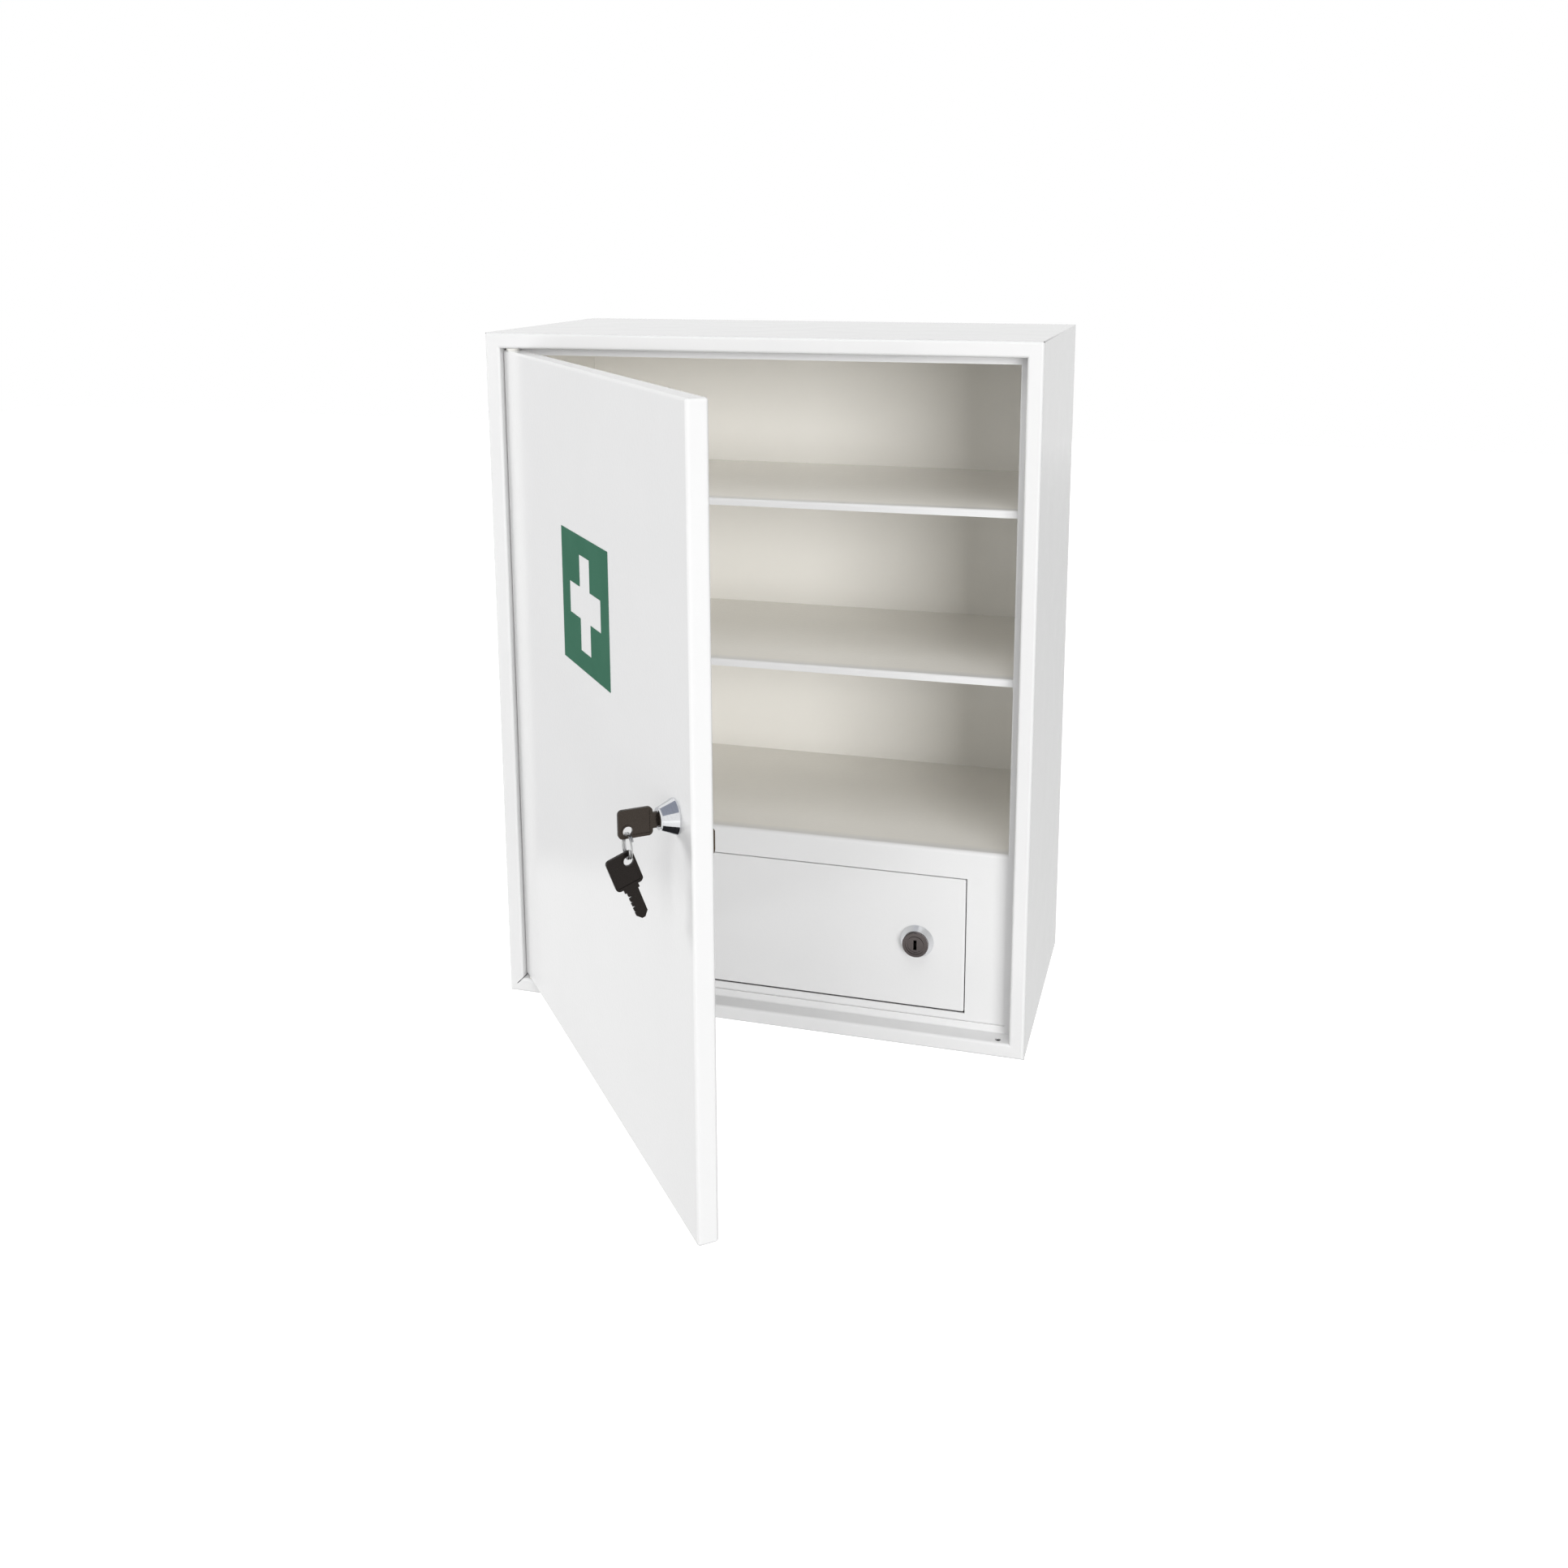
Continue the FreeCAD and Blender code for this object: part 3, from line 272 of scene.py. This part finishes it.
class CabinetLamps(bpy.types.PropertyGroup):
    """Soft square lamps, each placed by two angles and its distance from the cabinet's front."""

    key_power: bpy.props.FloatProperty(
        name="Key lamp", description="Power of the lamp at the front right", unit="POWER", default=152.0,
        min=0)
    key_turn: bpy.props.FloatProperty(
        name="Key turn", description="Turn of the key lamp from straight ahead", subtype="ANGLE",
        default=math.radians(33.5))
    key_rise: bpy.props.FloatProperty(
        name="Key rise", description="Height of the key lamp as an angle", subtype="ANGLE",
        default=math.radians(7.5))
    key_size: bpy.props.FloatProperty(
        name="Key size", description="Side of the key lamp's square", unit="LENGTH", default=2.3, min=0)
    key_distance: bpy.props.FloatProperty(
        name="Key distance", description="Distance of the key lamp from the cabinet", unit="LENGTH",
        default=5.0, min=0)
    fill_power: bpy.props.FloatProperty(
        name="Fill lamp", description="Power of the lamp at the left", unit="POWER", default=92.0, min=0)
    fill_turn: bpy.props.FloatProperty(
        name="Fill turn", description="Turn of the fill lamp from straight ahead", subtype="ANGLE",
        default=math.radians(-92))
    fill_rise: bpy.props.FloatProperty(
        name="Fill rise", description="Height of the fill lamp as an angle", subtype="ANGLE",
        default=math.radians(20.5))
    fill_size: bpy.props.FloatProperty(
        name="Fill size", description="Side of the fill lamp's square", unit="LENGTH", default=1.6, min=0)
    fill_distance: bpy.props.FloatProperty(
        name="Fill distance", description="Distance of the fill lamp from the cabinet", unit="LENGTH",
        default=4.0, min=0)
    front_power: bpy.props.FloatProperty(
        name="Front lamp", description="Power of the large lamp in front", unit="POWER", default=47.0, min=0)
    front_turn: bpy.props.FloatProperty(
        name="Front turn", description="Turn of the front lamp from straight ahead", subtype="ANGLE",
        default=math.radians(-14))
    front_rise: bpy.props.FloatProperty(
        name="Front rise", description="Height of the front lamp as an angle", subtype="ANGLE",
        default=math.radians(14))
    front_size: bpy.props.FloatProperty(
        name="Front size", description="Side of the front lamp's square", unit="LENGTH", default=3.0, min=0)
    front_distance: bpy.props.FloatProperty(
        name="Front distance", description="Distance of the front lamp from the cabinet", unit="LENGTH",
        default=5.0, min=0)
    top_power: bpy.props.FloatProperty(
        name="Top lamp", description="Power of the lamp above the cabinet", unit="POWER", default=64.0,
        min=0)
    top_turn: bpy.props.FloatProperty(
        name="Top turn", description="Turn of the top lamp from straight ahead", subtype="ANGLE",
        default=math.radians(5))
    top_rise: bpy.props.FloatProperty(
        name="Top rise", description="Height of the top lamp as an angle", subtype="ANGLE",
        default=math.radians(60))
    top_size: bpy.props.FloatProperty(
        name="Top size", description="Side of the top lamp's square", unit="LENGTH", default=2.7, min=0)
    top_distance: bpy.props.FloatProperty(
        name="Top distance", description="Distance of the top lamp from the cabinet", unit="LENGTH",
        default=5.0, min=0)
    back_power: bpy.props.FloatProperty(
        name="Back lamp", description="Power of the lamp behind the cabinet", unit="POWER", default=180.0,
        min=0)
    back_turn: bpy.props.FloatProperty(
        name="Back turn", description="Turn of the back lamp from straight ahead", subtype="ANGLE",
        default=math.pi)
    back_rise: bpy.props.FloatProperty(
        name="Back rise", description="Height of the back lamp as an angle", subtype="ANGLE",
        default=math.radians(6))
    back_size: bpy.props.FloatProperty(
        name="Back size", description="Side of the back lamp's square", unit="LENGTH", default=2.2, min=0)
    back_distance: bpy.props.FloatProperty(
        name="Back distance", description="Distance of the back lamp from the cabinet", unit="LENGTH",
        default=9.0, min=0)


class CabinetFlags(bpy.types.PropertyGroup):
    """Cards that only mirror-like surfaces see, which give the chrome its bands."""

    upper_place: bpy.props.FloatVectorProperty(
        name="Upper flag", description="Middle of the card above the cabinet", subtype="TRANSLATION",
        unit="LENGTH", size=3, default=(-0.45, -1.0, 1.1))
    upper_size: bpy.props.FloatVectorProperty(
        name="Upper size", description="Width and depth of the upper card", unit="LENGTH", size=2, min=0,
        default=(1.2, 2.0))
    upper_tone: bpy.props.FloatVectorProperty(
        name="Upper tone", description="Tone of the upper card", subtype="COLOR", size=3, min=0, max=1,
        default=(0.30, 0.32, 0.38))
    lower_place: bpy.props.FloatVectorProperty(
        name="Lower flag", description="Middle of the card over the floor, its height taken from the floor",
        subtype="TRANSLATION", unit="LENGTH", size=3, default=(-0.08, -0.58, 0.02))
    lower_size: bpy.props.FloatVectorProperty(
        name="Lower size", description="Width and depth of the lower card", unit="LENGTH", size=2, min=0,
        default=(0.5, 0.8))
    lower_tone: bpy.props.FloatVectorProperty(
        name="Lower tone", description="Tone of the lower card", subtype="COLOR", size=3, min=0, max=1,
        default=(0.02, 0.02, 0.022))
    left_place: bpy.props.FloatVectorProperty(
        name="Left flag", description="Middle of the card to the left", subtype="TRANSLATION",
        unit="LENGTH", size=3, default=(-1.1, 0.3, 0.1))
    left_size: bpy.props.FloatVectorProperty(
        name="Left size", description="Depth and height of the left card", unit="LENGTH", size=2, min=0,
        default=(1.0, 1.4))
    left_tone: bpy.props.FloatVectorProperty(
        name="Left tone", description="Tone of the left card", subtype="COLOR", size=3, min=0, max=1,
        default=(0.60, 0.60, 0.61))


def start_material(name):
    """New material with its shader and the object's own coordinates."""
    material = bpy.data.materials.new(name)
    material.use_nodes = True
    tree = material.node_tree
    shader = tree.nodes["Principled BSDF"]
    place = tree.nodes.new("ShaderNodeTexCoord").outputs["Object"]
    return material, tree, shader, place


def clouds(tree, place, scale, detail=CLOUD_DETAIL):
    """Noise of a given scale, as a factor from 0 to 1."""
    noise = tree.nodes.new("ShaderNodeTexNoise")
    noise.inputs["Scale"].default_value = scale
    noise.inputs["Detail"].default_value = detail
    tree.links.new(place, noise.inputs["Vector"])
    return noise.outputs["Fac"]


def between(tree, factor, low, high):
    """Colour that goes from one tone to another as a noise factor rises."""
    ramp = tree.nodes.new("ShaderNodeValToRGB")
    start, full = ramp.color_ramp.elements
    start.position = CLOUD_START
    start.color = (*low, 1)
    full.position = CLOUD_FULL
    full.color = (*high, 1)
    tree.links.new(factor, ramp.inputs["Fac"])
    return ramp.outputs["Color"]


def spread(tree, factor, low, high):
    """Factor carried over to a range of values."""
    span = tree.nodes.new("ShaderNodeMapRange")
    span.inputs["To Min"].default_value = low
    span.inputs["To Max"].default_value = high
    tree.links.new(factor, span.inputs["Value"])
    return span.outputs["Result"]


def step(tree, value, zero, one):
    """0 where a value is at or beyond zero, 1 where it is at or beyond one."""
    span = tree.nodes.new("ShaderNodeMapRange")
    span.inputs["From Min"].default_value = zero
    span.inputs["From Max"].default_value = one
    tree.links.new(value, span.inputs["Value"])
    return span.outputs["Result"]


def combine(tree, operation, first, second=None):
    """Result of a math node on one or two factors."""
    math_node = tree.nodes.new("ShaderNodeMath")
    math_node.operation = operation
    tree.links.new(first, math_node.inputs[0])
    if second is not None:
        tree.links.new(second, math_node.inputs[1])
    return math_node.outputs["Value"]


def product(tree, *factors):
    """All factors multiplied."""
    total = factors[0]
    for factor in factors[1:]:
        total = combine(tree, "MULTIPLY", total, factor)
    return total


def blend(tree, factor, low, high):
    """Two colours, sockets or values, mixed by a factor."""
    mix = tree.nodes.new("ShaderNodeMix")
    mix.data_type = "RGBA"
    tree.links.new(factor, mix.inputs["Factor"])
    for name, colour in (("A", low), ("B", high)):
        socket = next(item for item in mix.inputs if item.name == name and item.type == "RGBA")
        if isinstance(colour, bpy.types.NodeSocket):
            tree.links.new(colour, socket)
        else:
            socket.default_value = (*colour, 1)
    return next(item for item in mix.outputs if item.type == "RGBA")


def dimple(tree, shader, factor, depth):
    """Bump that follows a factor."""
    bump = tree.nodes.new("ShaderNodeBump")
    bump.inputs["Distance"].default_value = depth
    tree.links.new(factor, bump.inputs["Height"])
    tree.links.new(bump.outputs["Normal"], shader.inputs["Normal"])


def by_ray(tree, seen, mirrored, otherwise):
    """Value for what the camera sees, what mirror-like surfaces see and all other light.

    The first two have to be no less than the third.
    """
    path = tree.nodes.new("ShaderNodeLightPath")
    direct = combine(tree, "MAXIMUM", path.outputs["Is Camera Ray"], path.outputs["Is Transmission Ray"])
    return combine(
        tree, "MAXIMUM", spread(tree, direct, otherwise, seen),
        spread(tree, path.outputs["Is Glossy Ray"], otherwise, mirrored))


def carcass_places(tree, place):
    """Distance from the middle across and up, and depth, of a point on the carcass."""
    axes = tree.nodes.new("ShaderNodeSeparateXYZ")
    tree.links.new(place, axes.inputs["Vector"])
    across = combine(tree, "ABSOLUTE", axes.outputs["X"])
    up = combine(tree, "ABSOLUTE", axes.outputs["Z"])
    return across, up, axes.outputs["Y"]


def painted_bounce_light_mask(tree, place, paint):
    """1 on the faces inside the carcass and behind the shelves' lips, 0 outside: where the paint is given
    painted bounce light.
    """
    across, up, depth = carcass_places(tree, place)
    low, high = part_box("back_panel")
    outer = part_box("right_side")[1]
    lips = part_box("upper_shelf")[0].y
    return product(
        tree, step(tree, across, outer.x, high.x), step(tree, up, outer.z, high.z),
        step(tree, depth, high.y, low.y), step(tree, depth, lips + paint.sheet, lips + paint.bounce_light_lip_fade))


def open_seam(tree, place, paint):
    """1 along the edges where the top and bottom meet the sides, closing towards the back."""
    across, up, depth = carcass_places(tree, place)
    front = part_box("right_side")[0].y
    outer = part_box("right_side")[1]
    width = paint.seam_width
    return product(
        tree, step(tree, across, outer.x - width, outer.x - width / 2),
        step(tree, up, outer.z - width, outer.z - width / 2),
        step(tree, depth, front + paint.seam_depth, front))


def powder_coat(paint):
    """Gloss paint with faint clouds, orange peel, painted bounce light inside as a paler, warmer tone, and
    the open joints.
    """
    material, tree, shader, place = start_material("powder_coat")
    cloud = clouds(tree, place, paint.cloud_scale)
    # The second tone is painted light: a paler, warmer copy of the paint inside the carcass, standing in for
    # the bounce light there.
    tones = []
    for tone in (paint.colour, paint.inside):
        clouded = tuple(part * (1 - paint.clouding) for part in tone)
        tones.append(between(tree, cloud, clouded, tone))
    coat = blend(tree, painted_bounce_light_mask(tree, place, paint), *tones)
    coat = blend(tree, open_seam(tree, place, paint), coat, paint.seam)
    tree.links.new(coat, shader.inputs["Base Color"])
    flow = clouds(tree, place, paint.flow_scale)
    tree.links.new(spread(tree, flow, paint.gloss_low, paint.gloss_high), shader.inputs["Roughness"])
    dimple(tree, shader, clouds(tree, place, paint.peel_scale, PEEL_DETAIL), paint.peel_depth)
    shader.inputs["IOR"].default_value = paint.refraction
    return material


def plated(name, metal, colour, roughness, coarseness=1.0):
    """Metal with fine marks, its tone and roughness varying with them."""
    material, tree, shader, place = start_material(name)
    mark = clouds(tree, place, metal.grain / coarseness, MARK_DETAIL)
    darker = tuple(part * metal.mark_tone for part in colour)
    tree.links.new(between(tree, mark, darker, colour), shader.inputs["Base Color"])
    tree.links.new(spread(tree, mark, *roughness), shader.inputs["Roughness"])
    dimple(tree, shader, mark, metal.mark_depth)
    shader.inputs["Metallic"].default_value = 1.0
    return material


def moulded_nylon(metal):
    """Plastic with a faint mould texture."""
    material, tree, shader, place = start_material("nylon")
    mark = clouds(tree, place, metal.grain / metal.nylon_coarseness)
    darker = tuple(part * metal.nylon_mark_tone for part in metal.nylon)
    tree.links.new(between(tree, mark, darker, metal.nylon), shader.inputs["Base Color"])
    tree.links.new(spread(tree, mark, *metal.nylon_roughness), shader.inputs["Roughness"])
    dimple(tree, shader, mark, metal.nylon_mark_depth)
    return material


def green_film(sign):
    """Printed film with faint lighter clouds and fine dimples."""
    material, tree, shader, place = start_material("green_film")
    cloud = clouds(tree, place, sign.cloud_scale)
    tree.links.new(between(tree, cloud, sign.colour, sign.faded), shader.inputs["Base Color"])
    smooth = sign.roughness - sign.roughness_spread
    rough = sign.roughness + sign.roughness_spread
    tree.links.new(spread(tree, cloud, smooth, rough), shader.inputs["Roughness"])
    dimple(tree, shader, clouds(tree, place, sign.grain), sign.grain_depth)
    shader.inputs["Specular IOR Level"].default_value = sign.sheen
    return material


def studio_floor(stage):
    """Pale matt floor with a light of its own that only the camera and mirror-like surfaces see."""
    material, tree, shader, place = start_material("studio_floor")
    cloud = clouds(tree, place, stage.floor_cloud_scale)
    darker = tuple(part * stage.floor_cloud_tone for part in stage.floor_colour)
    tree.links.new(between(tree, cloud, darker, stage.floor_colour), shader.inputs["Base Color"])
    shader.inputs["Roughness"].default_value = stage.floor_roughness
    shader.inputs["Emission Color"].default_value = WHITE
    lift = by_ray(tree, seen=stage.floor_lift, mirrored=stage.floor_mirrored, otherwise=0.0)
    tree.links.new(lift, shader.inputs["Emission Strength"])
    return material


def flag_card(name, tone):
    """Card of one even tone, whatever light falls on it."""
    material = bpy.data.materials.new(name)
    material.use_nodes = True
    shader = material.node_tree.nodes["Principled BSDF"]
    shader.inputs["Base Color"].default_value = BLACK
    shader.inputs["Specular IOR Level"].default_value = 0.0
    shader.inputs["Emission Color"].default_value = (*tone, 1)
    shader.inputs["Emission Strength"].default_value = 1.0
    return material


def give(material, nodes):
    """Put a material on CAD nodes."""
    for node in nodes:
        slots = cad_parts[node].material_slots
        for slot in slots:
            slot.link = "OBJECT"
            slot.material = material


def rectangle(name, middle, across, along):
    """Mesh of one flat rectangle, spanned by two edges about its middle."""
    mesh = bpy.data.meshes.new(name)
    corners = [middle + (side * across + end * along) / 2 for side, end in CORNERS]
    mesh.from_pydata(corners, [], [(0, 1, 2, 3)])
    return mesh


def add_surroundings(scene, stage):
    """World that is white to the camera and dimmer in mirror-like surfaces and as a light."""
    world = bpy.data.worlds.new("studio")
    scene.world = world
    world.use_nodes = True
    tree = world.node_tree
    background = tree.nodes["Background"]
    background.inputs["Color"].default_value = WHITE
    brightness = by_ray(tree, seen=stage.backdrop, mirrored=stage.mirrored, otherwise=stage.ambient)
    tree.links.new(brightness, background.inputs["Strength"])


def add_floor(scene, stage, height):
    """Square floor below the cabinet."""
    side = 2 * stage.floor_reach
    mesh = rectangle("floor", UP * height, RIGHT * side, BACKWARD * side)
    mesh.materials.append(studio_floor(stage))
    floor = bpy.data.objects.new("floor", mesh)
    scene.collection.objects.link(floor)


def add_lamp(scene, name, turn, rise, distance, size, power):
    """Square soft lamp that looks at the middle of the cabinet's front."""
    data = bpy.data.lights.new(name, "AREA")
    data.shape = "SQUARE"
    data.size = size
    data.energy = power
    lamp = bpy.data.objects.new(name, data)
    away = Vector((math.sin(turn) * math.cos(rise), -math.cos(turn) * math.cos(rise), math.sin(rise)))
    lamp.location = Vector((0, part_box("right_side")[0].y, 0)) + away * distance
    lamp.rotation_euler = (-away).to_track_quat("-Z", "Y").to_euler()
    lamp.visible_glossy = False
    scene.collection.objects.link(lamp)


def add_flag(scene, name, middle, size, directions, tone):
    """Studio card that only mirror-like surfaces see, with its edges along two directions."""
    across, along = (direction * length for direction, length in zip(directions, size))
    mesh = rectangle(name, middle, across, along)
    mesh.materials.append(flag_card(name, tone))
    flag = bpy.data.objects.new(name, mesh)
    for ray in ("camera", "diffuse", "shadow", "transmission", "volume_scatter"):
        setattr(flag, f"visible_{ray}", False)
    scene.collection.objects.link(flag)


def add_camera(scene, stage):
    """Camera that stands at the right and looks left and slightly down at the open cabinet."""
    data = bpy.data.cameras.new("camera")
    data.sensor_fit = "HORIZONTAL"
    data.lens = stage.focal_share * data.sensor_width
    data.shift_y = stage.rise
    camera = bpy.data.objects.new("camera", data)
    camera.location = stage.camera_place
    # A camera that isn't turned looks straight down, and a quarter turn levels it.
    level = math.pi / 2
    turn = Matrix.Rotation(stage.camera_turn, 3, "Z")
    dip = Matrix.Rotation(level - stage.camera_dip, 3, "X")
    roll = Matrix.Rotation(stage.camera_roll, 3, "Z")
    camera.rotation_euler = (turn @ dip @ roll).to_euler()
    scene.collection.objects.link(camera)
    scene.camera = camera


class CabinetPaintSheet(bpy.types.Operator):
    """Powder-coat the carcass, the shelves, the compartment and both doors"""

    bl_idname = "cabinet.paint_sheet"
    bl_label = "Paint Sheet Steel"

    def execute(self, context):
        give(powder_coat(context.scene.cabinet_paint), PAINTED)
        return {"FINISHED"}


class CabinetPlateLocks(bpy.types.Operator):
    """Chrome, gunmetal and browned steel on the two locks"""

    bl_idname = "cabinet.plate_locks"
    bl_label = "Plate Locks"

    def execute(self, context):
        metal = context.scene.cabinet_metal
        give(plated("chrome_plate", metal, metal.chrome, metal.chrome_roughness), CHROMED)
        give(plated("gunmetal_face", metal, metal.gunmetal, metal.gunmetal_roughness), GUNMETAL)
        give(plated("browned_steel", metal, metal.browned, metal.browned_roughness), BROWNED)
        return {"FINISHED"}


class CabinetFinishKeys(bpy.types.Operator):
    """Black nickel on the keys and bright steel on the split ring"""

    bl_idname = "cabinet.finish_keys"
    bl_label = "Finish Keys"

    def execute(self, context):
        metal = context.scene.cabinet_metal
        # The key in the lock takes the lighter copy of the black nickel as painted sheen, the spare key the
        # darker copy as painted shade.
        give(plated("worn_black_nickel", metal, metal.key_nickel_painted_light, metal.nickel_roughness), ("key",))
        give(plated("black_nickel", metal, metal.spare_nickel_painted_shade, metal.nickel_roughness), ("spare_key",))
        give(plated("bright_steel", metal, metal.steel, metal.steel_roughness), ("key_ring",))
        return {"FINISHED"}


class CabinetFinishHinges(bpy.types.Operator):
    """Zinc plate on pins, brackets, nuts and screws, and nylon washers"""

    bl_idname = "cabinet.finish_hinges"
    bl_label = "Finish Hinges"

    def execute(self, context):
        metal = context.scene.cabinet_metal
        give(plated("zinc_plate", metal, metal.zinc, metal.zinc_roughness, metal.zinc_coarseness), ZINCED)
        give(moulded_nylon(metal), NYLON)
        return {"FINISHED"}


class CabinetFinishSign(bpy.types.Operator):
    """Green film of the first-aid sign"""

    bl_idname = "cabinet.finish_sign"
    bl_label = "Finish Sign"

    def execute(self, context):
        give(green_film(context.scene.cabinet_sign), ("first_aid_sign",))
        return {"FINISHED"}


class CabinetBuildStage(bpy.types.Operator):
    """White surroundings, pale floor, soft lamps, flags and the camera"""

    bl_idname = "cabinet.build_stage"
    bl_label = "Build Stage"

    def execute(self, context):
        scene = context.scene
        stage = scene.cabinet_stage
        lamps = scene.cabinet_lamps
        flags = scene.cabinet_flags
        scene.view_settings.view_transform = "Standard"
        floor_height = cad_box[0][2] - stage.floor_drop
        lower_middle = flags.lower_place + UP * floor_height

        add_surroundings(scene, stage)
        add_floor(scene, stage, floor_height)
        for lamp in LAMPS:
            settings = (getattr(lamps, f"{lamp}_{setting}") for setting in LAMP_SETTINGS)
            add_lamp(scene, f"{lamp}_lamp", *settings)
        add_flag(
            scene, "upper_flag", flags.upper_place, flags.upper_size, (RIGHT, BACKWARD), flags.upper_tone)
        add_flag(scene, "lower_flag", lower_middle, flags.lower_size, (RIGHT, BACKWARD), flags.lower_tone)
        add_flag(scene, "left_flag", flags.left_place, flags.left_size, (BACKWARD, UP), flags.left_tone)
        add_camera(scene, stage)
        return {"FINISHED"}


class CabinetPanel(bpy.types.Panel):
    """Finish of the medicine cabinet"""

    bl_idname = "VIEW3D_PT_cabinet"
    bl_label = "Medicine Cabinet"
    bl_space_type = "VIEW_3D"
    bl_region_type = "UI"
    bl_category = "Cabinet"

    def draw(self, context):
        for operator in OPERATORS:
            self.layout.operator(operator.bl_idname)
        for group, name in GROUPS.items():
            settings = getattr(context.scene, name)
            for setting in group.__annotations__:
                self.layout.prop(settings, setting)


GROUPS = {
    CabinetPaint: "cabinet_paint",
    CabinetMetal: "cabinet_metal",
    CabinetSign: "cabinet_sign",
    CabinetStage: "cabinet_stage",
    CabinetLamps: "cabinet_lamps",
    CabinetFlags: "cabinet_flags",
}
OPERATORS = (
    CabinetPaintSheet, CabinetPlateLocks, CabinetFinishKeys, CabinetFinishHinges, CabinetFinishSign,
    CabinetBuildStage,
)


def register():
    for group, name in GROUPS.items():
        bpy.utils.register_class(group)
        setattr(bpy.types.Scene, name, bpy.props.PointerProperty(type=group))
    for operator in OPERATORS:
        bpy.utils.register_class(operator)
    bpy.utils.register_class(CabinetPanel)


def unregister():
    bpy.utils.unregister_class(CabinetPanel)
    for operator in reversed(OPERATORS):
        bpy.utils.unregister_class(operator)
    for group, name in GROUPS.items():
        delattr(bpy.types.Scene, name)
        bpy.utils.unregister_class(group)


def main():
    register()
    bpy.ops.cabinet.paint_sheet()
    bpy.ops.cabinet.plate_locks()
    bpy.ops.cabinet.finish_keys()
    bpy.ops.cabinet.finish_hinges()
    bpy.ops.cabinet.finish_sign()
    bpy.ops.cabinet.build_stage()


if __name__ == "__main__":
    main()
